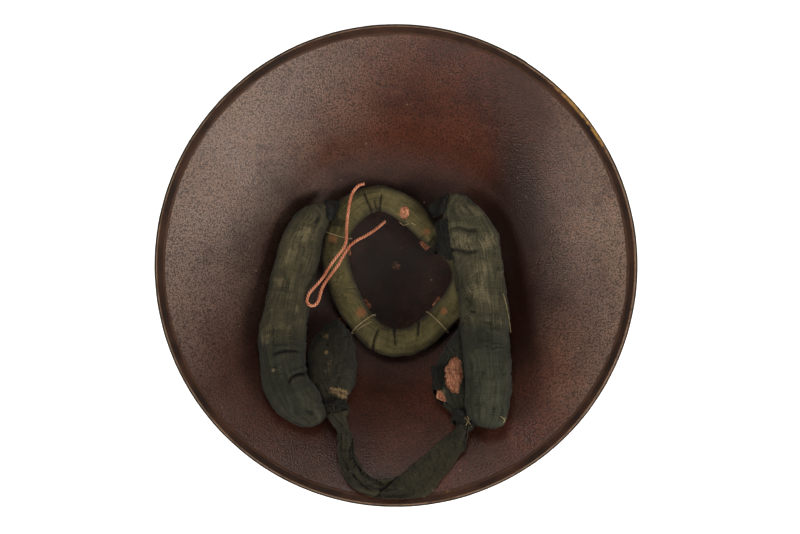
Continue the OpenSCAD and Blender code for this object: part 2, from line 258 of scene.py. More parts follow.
def tube(path, radius, around, up=(0, 0, 1)):
    """Points and faces of a closed round tube: a circle of the radius stands square to the path at each of its
    points. A smaller circle ahead of each end closes it as a blunt tip."""
    ahead, aside, above = directions(path, up)
    turn = np.arange(around) * 2 * math.pi / around
    round_way = aside[:, None] * np.cos(turn)[None, :, None] + above[:, None] * np.sin(turn)[None, :, None]
    thick = np.broadcast_to(radius, len(path)).copy()
    rings = path[:, None] + round_way * thick[:, None, None]
    tips = [path[0] - ahead[0] * thick[0] * TIP_AHEAD, path[-1] + ahead[-1] * thick[-1] * TIP_AHEAD]
    rings = np.concatenate([tips[0] + round_way[:1] * thick[0] * TIP_SHARE, rings,
                            tips[1] + round_way[-1:] * thick[-1] * TIP_SHARE])
    count = len(rings)
    faces = [tuple(f) for f in grid_faces(count, around)]
    faces += [tuple(range(around))[::-1], tuple(range((count - 1) * around, count * around))]
    return rings.reshape(-1, 3), faces


def joined(skins_and_faces):
    """Several (points, faces) as one."""
    points, faces, first = [], [], 0
    for p, f in skins_and_faces:
        points.append(p)
        faces += [tuple(int(i) + first for i in corners) for corners in f]
        first += len(p)
    return np.vstack(points), faces


def twisted(path, thickness, lay, around, up):
    """A laid cord of two plies: each is a tube whose middle line winds round the path once in each lay length,
    half-way from the cord's middle to its outside. A ply is a little plump, so that the two press together."""
    _, aside, above = directions(path, up)
    ply = thickness / 4 * PLY_PLUMP
    away = thickness / 2 - ply
    turn = run_of(path) / lay * 2 * math.pi
    plies = []
    for k in range(PLIES):
        angle = (turn + 2 * math.pi * k / PLIES)[:, None]
        plies.append(tube(path + (aside * np.cos(angle) + above * np.sin(angle)) * away, ply, around, up))
    return joined(plies)


def mark(piece, name, values):
    """Stores one number for each point under a name, for the finish to read."""
    piece.data.attributes.new(name, "FLOAT", "POINT").data.foreach_set("value", values.astype(np.float32))


def laid_cord(name, paths, thickness, lay, around=8, ups=((0, 0, 1),)):
    """One piece from several laid cords. It stores how far each point is from its cord's middle line, so that
    the finish can paint shade into the grooves between the plies."""
    cords, out = [], []
    for k, path in enumerate(paths):
        points, faces = twisted(path, thickness, lay, around, ups[k % len(ups)])
        middle = np.tile(np.repeat(np.vstack([path[:1], path, path[-1:]]), around, axis=0), (PLIES, 1))
        cords.append((points, faces))
        out.append(np.linalg.norm(points - middle, axis=1) / (thickness / 2))
    piece = outwards(new_piece(name, *joined(cords)))
    mark(piece, "outer", np.concatenate(out))
    return piece


# %% [markdown]
# ## The twisted cord
# A rust-orange two-ply cord comes out over the top of the head ring, runs down to the left, turns back at a
# loop and goes inside the ring again. A cord has one real length, so its route is a list of given points, the
# same as in the CAD model, and both plies wind round the smooth curve through them.

# %% The twisted cord
CORD_THICKNESS = 2.8 * MM
CORD_LAY = 5.6 * MM
CORD_ROUTE = np.array([
    (-28, 71, 42), (-33, 69, 46.8), (-38.5, 61, 49.4), (-41.5, 46, 49.2), (-42.8, 33, 48.8), (-43, 24, 49),
    (-44.7, 16.6, 50.4), (-49.6, 9.7, 53.8), (-54.5, 3.3, 57.6), (-58.6, -3.1, 61.8), (-62.2, -9.6, 66),
    (-66.9, -15.4, 70.2), (-71, -20, 73.6), (-73.8, -23.6, 75.8), (-75.2, -27.1, 77.4), (-75.5, -30.6, 78.3),
    (-73.5, -33.4, 78.3), (-70.1, -33.9, 77), (-67.2, -31.8, 75.2), (-65.6, -28.2, 73.2), (-64.5, -23.6, 71),
    (-62.6, -18, 68.6), (-58.9, -11.8, 65), (-54.2, -5.4, 60.4), (-50, 0.6, 56.4), (-45.9, 8, 52.6),
    (-42.6, 13.6, 49.8), (-39.6, 17.6, 47.8), (-34.6, 21.6, 45.4), (-27.6, 25.4, 42), (-20, 30.2, 36.8),
    (-13.6, 35.6, 28.4), (-10, 39, 20),
]) * MM
cord_path = smoothed(CORD_ROUTE, 24)
cord = laid_cord("twisted_cord", [cord_path], CORD_THICKNESS, CORD_LAY, around=10)
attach(cord, "hat")
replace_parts(cord, "hanging_cord")
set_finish(cord, "rust_cord")

# %% [markdown]
# ## The bowl
# The rawhide shell, its lining and the rim binding are bodies of revolution. In section the bowl is two arcs
# that meet without a corner: the round crown, hollow side up, and the brim, which curves the other way. A
# revolved outline of many short steps shows no facets. Handmade lacquer is never quite true, so all three
# layers share one slight warp, which keeps them in touch.

# %% The bowl's section
RIM_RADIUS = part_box("rim_binding")[1].x
CROWN_RADIUS = 150 * MM
TURN_SLOPE = math.radians(48)
RIM_SLOPE = math.radians(22)
SHELL = 2.4 * MM
LINING = 0.8 * MM
BINDING = 0.9 * MM
BINDING_LAP = 6 * MM
PLATE = 1.6 * MM
PIN_RADIUS = 1.6 * MM
WALL = SHELL + LINING
BEAD = WALL / 2 + BINDING
CROWN_MIDDLE = PLATE + CROWN_RADIUS
WALL_END = RIM_RADIUS - BEAD + WALL / 2 * math.sin(RIM_SLOPE)
BRIM_RADIUS = (WALL_END - CROWN_RADIUS * math.sin(TURN_SLOPE)) / (math.sin(TURN_SLOPE) - math.sin(RIM_SLOPE))
BRIM_X = (CROWN_RADIUS + BRIM_RADIUS) * math.sin(TURN_SLOPE)
BRIM_Z = CROWN_MIDDLE - (CROWN_RADIUS + BRIM_RADIUS) * math.cos(TURN_SLOPE)
ROUND_STEPS = 256


def bowl_height(r, depth):
    """Height of the surface at a depth under the outer face: a circle under the crown's middle, up to where
    the two arcs meet, and then a circle round the brim's middle, which lies outside and below."""
    meet = (CROWN_RADIUS - depth) * math.sin(TURN_SLOPE)
    crown = CROWN_MIDDLE - np.sqrt(np.maximum((CROWN_RADIUS - depth) ** 2 - np.minimum(r, meet) ** 2, 0))
    brim = BRIM_Z + np.sqrt(np.maximum((BRIM_RADIUS + depth) ** 2 - (BRIM_X - r) ** 2, 0))
    return np.where(r <= meet, crown, brim)


def on_brim(slope, depth):
    """Radius and height of the brim's arc where it has a slope."""
    return BRIM_X - (BRIM_RADIUS + depth) * np.sin(slope), BRIM_Z + (BRIM_RADIUS + depth) * np.cos(slope)


def section_line(depth, first_radius, crown_steps=64, brim_steps=56):
    """The bowl's line at a depth, from a radius near the middle out to the rim."""
    start = math.asin(first_radius / (CROWN_RADIUS - depth))
    g = np.linspace(start, TURN_SLOPE, crown_steps)
    crown = np.stack([(CROWN_RADIUS - depth) * np.sin(g), CROWN_MIDDLE - (CROWN_RADIUS - depth) * np.cos(g)], -1)
    g = np.linspace(TURN_SLOPE, RIM_SLOPE, brim_steps)[1:]
    return np.vstack([crown, np.stack(on_brim(g, depth), -1)])


def ripple(points, size, seed, waves=14):
    """Smooth noise from -1 to 1: the mean of sine waves whose directions and lengths near size are random but
    seeded, made stronger at the middle by a hyperbolic tangent."""
    draw = np.random.default_rng(seed)
    ways = unit(draw.normal(size=(waves, 3))) * (2 * math.pi / size) * draw.uniform(0.6, 1.5, (waves, 1))
    phases = draw.uniform(0, 2 * math.pi, waves)
    return np.tanh(np.sin(points @ ways.T + phases).mean(-1) * 2.6)


def warped(points):
    """The hat's own slight warp: the height changes by a wave twice round and a smaller one three times round,
    which grow with the square of the radius."""
    turn = np.arctan2(points[:, 1], points[:, 0])
    grow = ((points[:, 0] ** 2 + points[:, 1] ** 2) / RIM_RADIUS ** 2)
    lift = (0.5 * np.sin(2 * turn + 0.7) + 0.25 * np.sin(3 * turn + 2)) * MM
    points[:, 2] += lift * grow
    return points


def revolved(name, outline, steps=ROUND_STEPS, dents=0.0, dent_size=50 * MM, seed=0):
    """Turns a closed outline of (radius, height) round Z. An optional wobble moves the points up and down."""
    outline = np.asarray(outline, float)
    turn = np.arange(steps) * 2 * math.pi / steps
    x = outline[:, None, 0] * np.cos(turn)
    y = outline[:, None, 0] * np.sin(turn)
    z = np.broadcast_to(outline[:, None, 1], x.shape)
    points = np.stack([x, y, z], -1).reshape(-1, 3)
    if dents:
        points[:, 2] += dents * ripple(points * [1, 1, 0], dent_size, seed)
    return outwards(new_piece(name, warped(points), grid_faces(len(outline), steps, wrap_rows=True)))


# %% [markdown]
# The lining is a skin on the shell, so both get the same wobble: shallow dents of 0.3 mm.
# The pin goes through both, so their outlines start at its radius and close into a ring there.

# %% Shell and lining
DENT = 0.3 * MM
DENT_SIZE = 62 * MM
DENT_SEED = 11
BORE = PIN_RADIUS + 0.1 * MM
shell = revolved("shell", np.vstack([section_line(0, BORE), section_line(SHELL, BORE)[::-1]]),
                 dents=DENT, dent_size=DENT_SIZE, seed=DENT_SEED)
lining = revolved("lining", np.vstack([section_line(SHELL, BORE), section_line(WALL, BORE)[::-1]]),
                  dents=DENT, dent_size=DENT_SIZE, seed=DENT_SEED)
for piece, node, finish_slot in [
        (shell, "outer_shell", "black_lacquer"), (lining, "inner_lining", "grained_lining")]:
    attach(piece, "hat")
    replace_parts(piece, node)
    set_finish(piece, finish_slot)
print("lining", len(lining.data.polygons), "faces")

# %% [markdown]
# ## The rim binding
# A strip of lacquered hide is folded over the wall's edge. Its outline goes along the outer face, round the
# bead, along the inner face and back on the wall. Its two cut edges wander a little as they go round, its
# thickness varies, and where its ends meet one laps over the other.

# %% Rim binding
RIM_STEPS = 900
LAP_POINTS = 9
BEAD_POINTS = 15
LAP_JOIN_TURN = math.radians(57)
LAP_JOIN_LONG = 0.07
LAP_JOIN_THICK = 0.35


def rim_outline(lap, swell):
    """One closed outline of the binding, in (radius, height), for a lap length and a factor of thickness."""
    slopes = np.linspace(RIM_SLOPE + lap / BRIM_RADIUS, RIM_SLOPE, LAP_POINTS)
    taper = np.clip(np.linspace(0, 5, LAP_POINTS), 0.25, 1) ** 0.5 * BINDING * swell
    normal = np.array([-math.sin(RIM_SLOPE), math.cos(RIM_SLOPE)])
    ahead = np.array([math.cos(RIM_SLOPE), math.sin(RIM_SLOPE)])
    end = np.array(on_brim(RIM_SLOPE, WALL / 2))
    a = np.linspace(0, math.pi, BEAD_POINTS + 2)[1:-1, None]
    bead = end + (WALL / 2 + BINDING * swell) * (ahead * np.sin(a) - normal * np.cos(a))
    under = np.stack(on_brim(slopes, -taper), -1)
    over = np.stack(on_brim(slopes, WALL + taper), -1)[::-1]
    inner = np.stack(on_brim(slopes, WALL), -1)
    outer = np.stack(on_brim(slopes, 0.0), -1)[::-1]
    return np.vstack([under, bead, over, inner, outer])


def rim_binding():
    """A grid whose rows go round the rim and whose columns follow the outline there."""
    turn = np.arange(RIM_STEPS) * 2 * math.pi / RIM_STEPS
    ring = np.stack([np.cos(turn), np.sin(turn), 0 * turn], -1) * RIM_RADIUS
    lap = BINDING_LAP + 0.35 * MM * ripple(ring, 45 * MM, 3) + 0.15 * MM * ripple(ring, 9 * MM, 4)
    from_join = (turn - LAP_JOIN_TURN + math.pi) % (2 * math.pi) - math.pi
    overlap = LAP_JOIN_THICK * np.clip(from_join / 0.004, 0, 1) * np.clip((LAP_JOIN_LONG - from_join) / 0.01, 0, 1)
    swell = 0.86 + 0.09 * ripple(ring, 30 * MM, 5) + 0.05 * ripple(ring, 6 * MM, 6) + overlap
    rows = np.stack([rim_outline(l, s) for l, s in zip(lap, swell)])
    x = rows[..., 0] * np.cos(turn)[:, None]
    y = rows[..., 0] * np.sin(turn)[:, None]
    points = np.stack([x, y, rows[..., 1]], -1).reshape(-1, 3)
    return outwards(new_piece("rim_strip", warped(points), grid_faces(RIM_STEPS, rows.shape[1], wrap_rows=True)))


rim = rim_binding()
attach(rim, "hat")
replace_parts(rim, "rim_binding")
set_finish(rim, "rim_lacquer")

# %% [markdown]
# ## Crown fitting, pin and rivets
# The hat rests on a low brass fitting, held by a pin that is clinched inside. Both are small outlines turned
# round Z. The rivets that hold the leather tabs keep their CAD shape.

# %% Crown fitting and pin
PLATE_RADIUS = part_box("crown_plate")[1].x
PLATE_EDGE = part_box("crown_plate")[1].z
PIN_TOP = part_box("crown_pin")[1].z
PIN_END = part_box("crown_pin")[1].x
dome = np.linspace(PIN_RADIUS, PLATE_RADIUS, 20)
plate_outline = np.vstack([
    [(PIN_RADIUS, 0), (PLATE_RADIUS * 0.55, 0), (PLATE_RADIUS * 0.58, 0.25 * MM), (PLATE_RADIUS * 0.61, 0)],
    [(PLATE_RADIUS - 1.4 * MM, 0), (PLATE_RADIUS - 0.5 * MM, 0.3 * MM), (PLATE_RADIUS, 1.1 * MM)],
    [(PLATE_RADIUS, PLATE_EDGE - 0.2 * MM)],
    np.stack([dome, bowl_height(dome, 0)], -1)[::-1],
])
plate = revolved("crown_fitting", plate_outline, steps=128)
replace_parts(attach(plate, "hat"), "crown_plate")
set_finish(plate, "crown_brass")
clinch = np.linspace(math.pi / 2, 0.06, 9)
base = PLATE + WALL
pin_outline = np.vstack([
    [(0.05 * MM, 0.05 * MM), (PIN_RADIUS * 0.9, 0.05 * MM), (PIN_RADIUS, 0.2 * MM), (PIN_RADIUS, base)],
    [(PIN_END - 0.4 * MM, base + 0.15 * MM)],
    np.stack([PIN_END * np.sin(clinch), base + 0.3 * MM + (PIN_TOP - base - 0.3 * MM) * np.cos(clinch)], -1),
])
pin = revolved("crown_pin_clinched", pin_outline, steps=48, dents=0.12 * MM, dent_size=5 * MM, seed=5)
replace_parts(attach(pin, "hat"), "crown_pin")
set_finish(pin, "dark_iron")

# %% [markdown]
# ## Leather tabs
# Four leather tabs lie on the lining under the head ring, and the torn ends of two of them show inside it. A
# tab is a grid over the bowl's own height. Its end is ragged, because the length of each lengthwise line
# varies, and it curls up there.

# %% Leather tabs
def longest_way(points):
    """The middle of some points, and the directions in which they spread most, less and least, with the half
    sizes along them."""
    middle = (points.max(0) + points.min(0)) / 2
    for _ in range(2):
        spread = np.linalg.eigh(np.cov((points - middle).T))[1][:, ::-1].T
        reach = (points - middle) @ spread.T
        middle = middle + ((reach.max(0) + reach.min(0)) / 2) @ spread
    return middle, spread, (reach.max(0) - reach.min(0)) / 2


def points_of(*names):
    """The points of some CAD nodes."""
    return np.vstack([points_in(nodes[n].data) for n in names])


def half_width(node, aside):
    """Half the size of a CAD node across a direction on the plan."""
    reach = points_of(node) @ aside
    return (reach.max() - reach.min()) / 2


TAB_ROWS = 61
TAB_COLUMNS = 17
TAB_THICK = 1.0 * MM


def leather_tab(node, curl, seed):
    """A strip along the CAD tab's direction: s runs along it and a runs across it. The strip lies a little over
    the lining, and near its inner end it lifts with the square of the way left and crumples."""
    middle, ways, half = longest_way(points_of(node))
    ahead = unit(ways[0] * [1, 1, 0])
    ahead = -ahead if ahead[:2] @ middle[:2] > 0 else ahead
    aside = np.array([-ahead[1], ahead[0], 0])
    length, width = half[0] * np.linalg.norm(ways[0][:2]), half_width(node, aside)
    s, a = np.meshgrid(np.linspace(-1, 1, TAB_ROWS), np.linspace(-1, 1, TAB_COLUMNS), indexing="ij")
    ragged = 1 - 0.09 * np.abs(ripple(np.stack([a * 3, a, 0 * a], -1), 1.1, seed)) * (s > 0)
    plan = middle + (s * ragged * length)[..., None] * ahead + (a * width * 0.97)[..., None] * aside
    near_end = np.clip((s - 0.55) / 0.45, 0, 1)
    crumple = ripple(plan.reshape(-1, 3) * [1, 1, 0], 7 * MM, seed + 1).reshape(s.shape)
    lift = 0.25 * MM + curl * near_end ** 2 * (0.55 + 0.45 * crumple)
    r = np.hypot(plan[..., 0], plan[..., 1])
    plan[..., 2] = bowl_height(r, WALL) + lift
    piece = new_piece(node + "_leather", plan, grid_faces(TAB_ROWS, TAB_COLUMNS, wrap_columns=False))
    walled(piece, TAB_THICK, 1 if np.cross(ahead, aside)[2] > 0 else -1)
    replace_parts(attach(piece, "hat"), node)
    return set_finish(piece, "tab_leather")


tabs = [leather_tab(node, curl * MM, seed) for node, curl, seed in [
    ("tab_upper_left", 0.8, 21), ("tab_upper_right", 0.8, 22),
    ("tab_lower_left", 4.5, 23), ("tab_lower_right", 4.5, 24),
]]
print(len(tabs), "tabs")

# %% [markdown]
# ## Stuffed cloth
# The head ring and the pads are cloth tubes stuffed with loose fibre. Each starts as a copy of the CAD model's
# filling, which is a little smaller than its cover, remeshed to even faces. Blender's cloth simulation then
# blows the skin up from inside with gravity off, so it swells and puckers as stuffed cloth does. No point
# moves further than a cap, and none sinks into the lining.
#
# A voxel remesh wipes out fine folds, so seams, pleats and creases come after it, as moves along the normals.
# For those, each point needs two numbers: how far along the tube it lies and how far round it. The tube's
# middle line gives both, and it comes from the CAD solids, cut into slices.

# %% From CAD solids to an inflated skin
VOXEL = 3.4 * MM
CLOTH_FRAMES = 20
PRESSURE = 4
GROWTH = 0.04
FILLED_OUT = 1.9 * MM
CAP = 3.4 * MM
ASIDE_CAP = 0.6 * MM
DRIFT_SLICE = 6 * MM
CLEAR = 0.3 * MM


def applied(piece):
    """Bakes a piece's modifiers into its mesh."""
    bpy.context.view_layer.update()
    shown = piece.evaluated_get(bpy.context.evaluated_depsgraph_get())
    mesh = bpy.data.meshes.new_from_object(shown)
    piece.modifiers.clear()
    piece.data = mesh
    return piece


def remeshed(name, sources):
    """One even skin round copies of some CAD nodes."""
    work = bmesh.new()
    for source in sources:
        work.from_mesh(nodes[source].data)
    bmesh.ops.remove_doubles(work, verts=work.verts, dist=0.01 * MM)
    mesh = bpy.data.meshes.new(name)
    work.to_mesh(mesh)
    work.free()
    piece = bpy.data.objects.new(name, mesh)
    scene.collection.objects.link(piece)
    voxels = piece.modifiers.new("voxels", "REMESH")
    voxels.mode = "VOXEL"
    voxels.voxel_size = VOXEL
    return applied(piece)


def above_lining(points):
    """Lifts the points that are in the lining to just over it."""
    floor = bowl_height(np.hypot(points[:, 0], points[:, 1]), WALL) + CLEAR
    points[:, 2] = np.maximum(points[:, 2], floor)
    return points


def simulated(pieces):
    """Where the points of closed cloth skins are after a few frames under pressure, without gravity."""
    for piece in pieces:
        cloth = piece.modifiers.new("cloth", "CLOTH").settings
        cloth.use_pressure = True
        cloth.uniform_pressure_force = PRESSURE
        cloth.effector_weights.gravity = 0
        cloth.shrink_min = -GROWTH
        cloth.quality = 6
        cloth.mass = 0.2
        cloth.bending_stiffness = 0.4
        piece.modifiers[-1].point_cache.frame_end = CLOTH_FRAMES
    for number in range(1, CLOTH_FRAMES + 1):
        scene.frame_set(number)
    graph = bpy.context.evaluated_depsgraph_get()
    ends = [points_in(piece.evaluated_get(graph).data) for piece in pieces]
    for piece in pieces:
        piece.modifiers.clear()
    scene.frame_set(1)
    return ends


def less_drift(way, run):
    """A tube under pressure also grows longer and slides off its place. The mean move of each slice along the
    tube is that slide, and it is taken away."""
    slice_of = np.floor((run - run.min()) / DRIFT_SLICE).astype(int)
    count = np.bincount(slice_of)
    mean = np.stack([np.bincount(slice_of, way[:, k]) / np.maximum(count, 1) for k in range(3)], -1)
    return way - mean[slice_of]


def inflate(skins):
    """skins is a list of (piece, middle line). Each point goes out along its normal as far as the simulated cloth
    went, at least FILLED_OUT and at most CAP, and a little sideways."""
    starts = [points_in(piece.data) for piece, _ in skins]
    ends = simulated([piece for piece, _ in skins])
    for (piece, line), start, end in zip(skins, starts, ends):
        out = normals_in(piece.data)
        if end is None:
            way = out * (FILLED_OUT + CAP) / 2
        else:
            way = less_drift(end - start, along_and_round(start, line)[0])
            swell = (way * out).sum(-1, keepdims=True)
            print(piece.name, "swells by", np.percentile(swell / MM, [5, 50, 95]).round(2), "mm")
            aside = way - out * swell
            aside *= np.minimum(1, ASIDE_CAP / np.maximum(np.linalg.norm(aside, axis=1, keepdims=True), 1e-9))
            way = out * np.clip(swell, FILLED_OUT, CAP) + aside
        set_points(piece, above_lining(start + way))


def subdivided(piece, levels):
    """Splits each face into four smooth ones, levels times."""
    split = piece.modifiers.new("split", "SUBSURF")
    split.levels = levels
    split.render_levels = levels
    return applied(piece)


# %% The middle line of a tube, and places along and round it
SLICES = 26
SLICE_REACH = 0.9
PAD_POINTS = 160
RING_MIDDLE = np.array([-3 * MM, -6 * MM])
RING_GAP_TURN = math.radians(28)
RING_SLICES = 48
RING_FIRST_SLICE = math.radians(4)
RING_SLICE_HALF = math.radians(6)
RING_POINTS = 260
BATCH = 4000


def slice_middles(values, points):
    """Cuts points into slices by a value, and gives the middle of each slice's extent in X, Y and Z."""
    edges = np.linspace(values.min(), values.max(), SLICES + 1)
    band = (edges[1] - edges[0]) * SLICE_REACH
    middles = []
    for at in (edges[:-1] + edges[1:]) / 2:
        near = points[np.abs(values - at) < band]
        middles.append((near.max(0) + near.min(0)) / 2)
    return np.array(middles)


def pad_line(*covers):
    """The middle line of a pad that runs from +Y to -Y."""
    points = points_of(*covers)
    middles = slice_middles(-points[:, 1], points)
    return evenly(smoothed(middles, 6), PAD_POINTS)


def ring_line():
    """The ring's middle line: slices by the angle round the ring's middle, closed by a straight step."""
    points = points_of("ring_cover")
    turn = np.arctan2(points[:, 1] - RING_MIDDLE[1], points[:, 0] - RING_MIDDLE[0])
    from_gap = (turn - RING_GAP_TURN) % (2 * math.pi)
    middles = []
    for at in np.linspace(0, 2 * math.pi, RING_SLICES + 1)[:-1] + RING_FIRST_SLICE:
        near = points[np.abs((from_gap - at + math.pi) % (2 * math.pi) - math.pi) < RING_SLICE_HALF]
        r = np.hypot(near[:, 0] - RING_MIDDLE[0], near[:, 1] - RING_MIDDLE[1])
        a = at + RING_GAP_TURN
        mean = (r.max() + r.min()) / 2
        height = (near[:, 2].max() + near[:, 2].min()) / 2
        middles.append((RING_MIDDLE[0] + mean * math.cos(a), RING_MIDDLE[1] + mean * math.sin(a), height))
    return evenly(smoothed(middles, 6), RING_POINTS)


def along_and_round(points, line):
    """For each point: the length along the line to the nearest place on it, and the angle round it, which is 0
    on top and half a turn underneath."""
    ahead = unit(np.gradient(line, axis=0))
    outward = np.stack([-line[:, 0], -line[:, 1], np.full(len(line), 0.12)], -1)
    above = unit(outward - ahead * (outward * ahead).sum(-1, keepdims=True))
    aside = np.cross(ahead, above)
    run = run_of(line)
    nearest = np.empty(len(points), int)
    for first in range(0, len(points), BATCH):
        way = points[first:first + BATCH, None, :] - line[None]
        nearest[first:first + BATCH] = (way ** 2).sum(-1).argmin(1)
    offset = points - line[nearest]
    extra = (offset * ahead[nearest]).sum(-1)
    turn = np.arctan2((offset * aside[nearest]).sum(-1), (offset * above[nearest]).sum(-1))
    return run[nearest] + extra, turn


def lay_cloth(piece, run, turn, radius):
    """Gives the skin a UV map in metres of cloth: U round the tube and V along it. Where a face crosses the
    line underneath, its corners are counted on past half a turn, so that no face runs the whole way back."""
    corners = corners_in(piece.data).reshape(-1, 4)
    t, s = turn[corners], run[corners]
    t = t + 2 * math.pi * np.round((t[:, :1] - t) / (2 * math.pi))
    length = run.max() - run.min()
    s = s + length * np.round((s[:, :1] - s) / length)
    set_map(piece, np.stack([t * radius, s], -1))


def spots(points, marks, height):
    """The strength at each point of soft round spots, each given in the photograph as (x, y, radius, strength)
    in pixels, by the distance on the plan."""
    total = np.zeros(len(points))
    for x, y, radius, strength in marks:
        place = from_photo((x, y), height)
        away = np.linalg.norm(points[:, :2] - place, axis=1) / (radius * PIXEL_AT_RIM)
        total += strength * np.exp(-away ** 2)
    return total


# %% [markdown]
# The simulation makes even sausages, but each real pad has its own outline. A few pulls shape it, as a
# sculptor's brush does: each takes the points near a place in the photograph along with it.

# %% Pulls
LOWEST_FADE = 8 * MM
LINE_STRIDE = 4
MOST_NARROWING = 0.8


def pulled(points, pulls, height, lowest=-1.0):
    """Each pull is (x and y in pixels, (right, up the photograph, height) in mm, radius in mm). A point's share
    of it is a bell curve of its distance on the plan. Points under the lowest height stay."""
    share_up = np.clip((points[:, 2] - lowest) / LOWEST_FADE, 0, 1)
    for place, way, radius in pulls:
        away = np.linalg.norm(points[:, :2] - from_photo(place, height), axis=1) / (radius * MM)
        points = points + (np.exp(-away ** 2) * share_up)[:, None] * np.array(way) * MM
    return points


def narrowed(points, line, places):
    """Draws a tube in towards its middle line. Each place is (mm from the line's end, width in mm, share)."""
    run = run_of(line)
    nearest = ((points[:, None] - line[None, ::LINE_STRIDE]) ** 2).sum(-1).argmin(1) * LINE_STRIDE
    to_end = (run[-1] - run[nearest]) / MM
    share = sum(s * np.exp(-((to_end - at) / width) ** 2) for at, width, s in places)
    return points + (line[nearest] - points) * np.clip(share, 0, MOST_NARROWING)[:, None]


# %% [markdown]
# A crease is a line in the photograph. The cloth dips along it and bulges beside it, so the move along the
# normal is a narrow dip less a wide low bulge, and it fades out at the line's ends.

# %% Creases
def crease_depth(points, normals, creases, height):
    """The move inwards at each point for creases, each ([pixels of a line], depth in mm, width in mm). On the
    side that faces down there is none."""
    move = np.zeros(len(points))
    for line, depth, width in creases:
        path = evenly(smoothed(from_photo(line, height), 6), 24)
        away = np.linalg.norm(points[:, None, :2] - path[None], axis=-1)
        nearest = away.argmin(1)
        along = nearest / (len(path) - 1)
        fade = np.clip(np.minimum(along, 1 - along) * 5 + 0.15, 0, 1)
        q = away.min(1) / (width * MM)
        move += depth * MM * fade * (np.exp(-q ** 2) - 0.3 * np.exp(-((q - 2.2) / 1.3) ** 2))
    return move * np.clip(normals[:, 2] * 2 + 0.4, 0, 1)


def finish_skin(piece, line, radius, creases, extra, shape, lumps, seed, height, wear, grime=()):
    """Shapes an inflated skin, subdivides it, adds its folds, and stores where each point lies on the cloth, how
    worn it is, how deep in a fold with the dark spots added, for painted shade in the folds, and how much it faces
    sideways, where less light comes, for painted shade on the flanks."""
    set_points(piece, shape(points_in(piece.data)))
    subdivided(piece, 2)
    points, normals = points_in(piece.data), normals_in(piece.data)
    run, turn = along_and_round(points, line)
    move = lumps * MM * (ripple(points, 26 * MM, seed) + 0.35 * ripple(points, 9 * MM, seed + 1))
    move -= crease_depth(points, normals, creases, height)
    move += extra(run, turn)
    set_points(piece, above_lining(points + normals * move[:, None]))
    lay_cloth(piece, run, turn, radius)
    mark(piece, "wear", spots(points, wear, height))
    # Painted shade: the cloth is darkened where it is pressed in, and at the dark spots.
    mark(piece, "folds", np.clip(-move / MM * 0.6 + spots(points, grime, height), 0, 1))
    # Painted shade on the faces that turn sideways.
    mark(piece, "flank", np.clip(1 - normals[:, 2], 0, 1))
    piece.data.shade_smooth()


# %% [markdown]
# Old cloth also keeps many small wrinkles. Each one here is a short ridge with a furrow beside it, at a random
# place on the unrolled cloth, and most of them run the same way, as the pull on the cloth does.

# %% Wrinkles
def wrinkles(run, turn, radius, count, seed, way=0.0, spread=0.5, length=13.0, width=1.3, height=0.4):
    """The move out at each point: for each wrinkle, the product of a bell curve along it and the slope of a
    bell curve across it, on the cloth unrolled to (round, along). way is the mean angle to the tube's length."""
    draw = np.random.default_rng(seed)
    total = np.zeros(len(run))
    for _ in range(count):
        at = draw.uniform(run.min(), run.max())
        round_at = draw.uniform(-math.pi, math.pi)
        angle = draw.normal(way, spread)
        long, wide, high = draw.uniform(0.5, 1.4, 3) * (length, width, height)
        s = (run - at) / MM
        t = ((turn - round_at + math.pi) % (2 * math.pi) - math.pi) * radius / MM
        along = s * math.cos(angle) + t * math.sin(angle)
        across = (t * math.cos(angle) - s * math.sin(angle) + 0.02 * along ** 2) / wide
        total += high * np.exp(-(along / long) ** 2) * (np.exp(-across ** 2) - 0.9 * np.exp(-(across - 1.6) ** 2))
    return total * MM


# %% [markdown]
# ## Making the soft pieces
# The covers and their fillings start here, so that one run of the simulation serves them all. The left and
# right long pads are each one skin from their upper to their lower section, because the real pad bends at its
# seam.

# %% Inflate the covers
COVERS = {
    "ring_skin": ["ring_stuffing"],
    "left_long_pad": ["left_long_stuffing_upper", "left_long_stuffing_lower"],
    "right_long_pad": ["right_long_stuffing_upper", "right_long_stuffing_lower"],
    "left_short_pad_cloth": ["left_short_stuffing"],
    "right_short_pad_cloth": ["right_short_stuffing"],
}
skins = {name: remeshed(name, sources) for name, sources in COVERS.items()}
lines = {
    "ring_skin": ring_line(),
    "left_long_pad": pad_line("left_long_pad_upper", "left_long_pad_lower"),
    "right_long_pad": pad_line("right_long_pad_upper", "right_long_pad_lower"),
    "left_short_pad_cloth": pad_line("left_short_pad"),
    "right_short_pad_cloth": pad_line("right_short_pad"),
}
inflate([(piece, lines[name]) for name, piece in skins.items()])

# %% Fillings
FILLING_SHRINK = 1.4 * MM
MOST_BULGE = 3.2


def filling(name, sources, body=None, bulges=(), height=0.0, shape=None):
    """The loose fibre inside a cover: the CAD filling, a little smaller, with a lumpy surface, and bulging where
    the cover is open."""
    piece = remeshed(name, sources)
    if shape:
        set_points(piece, shape(points_in(piece.data)))
    subdivided(piece, 1)
    points, normals = points_in(piece.data), normals_in(piece.data)
    lump = -FILLING_SHRINK + 0.35 * MM * ripple(points, 7 * MM, 31) + 0.3 * MM * ripple(points, 3 * MM, 32)
    lump += np.minimum(spots(points, bulges, height), MOST_BULGE) * MM * np.clip(normals[:, 2] * 2, 0, 1)
    set_points(piece, points + normals * lump[:, None])
    piece.data.shade_smooth()
    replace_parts(piece, *sources)
    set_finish(piece, "stuffing_fibre")
    if body:
        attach(piece, body)
    return piece


# %% [markdown]
# ## The head ring
# The ring is one cloth tube bent round, so its cloth is too long on the inside of each bend and lies there in
# small pleats. Its middle line comes from slices by angle instead of by Y.

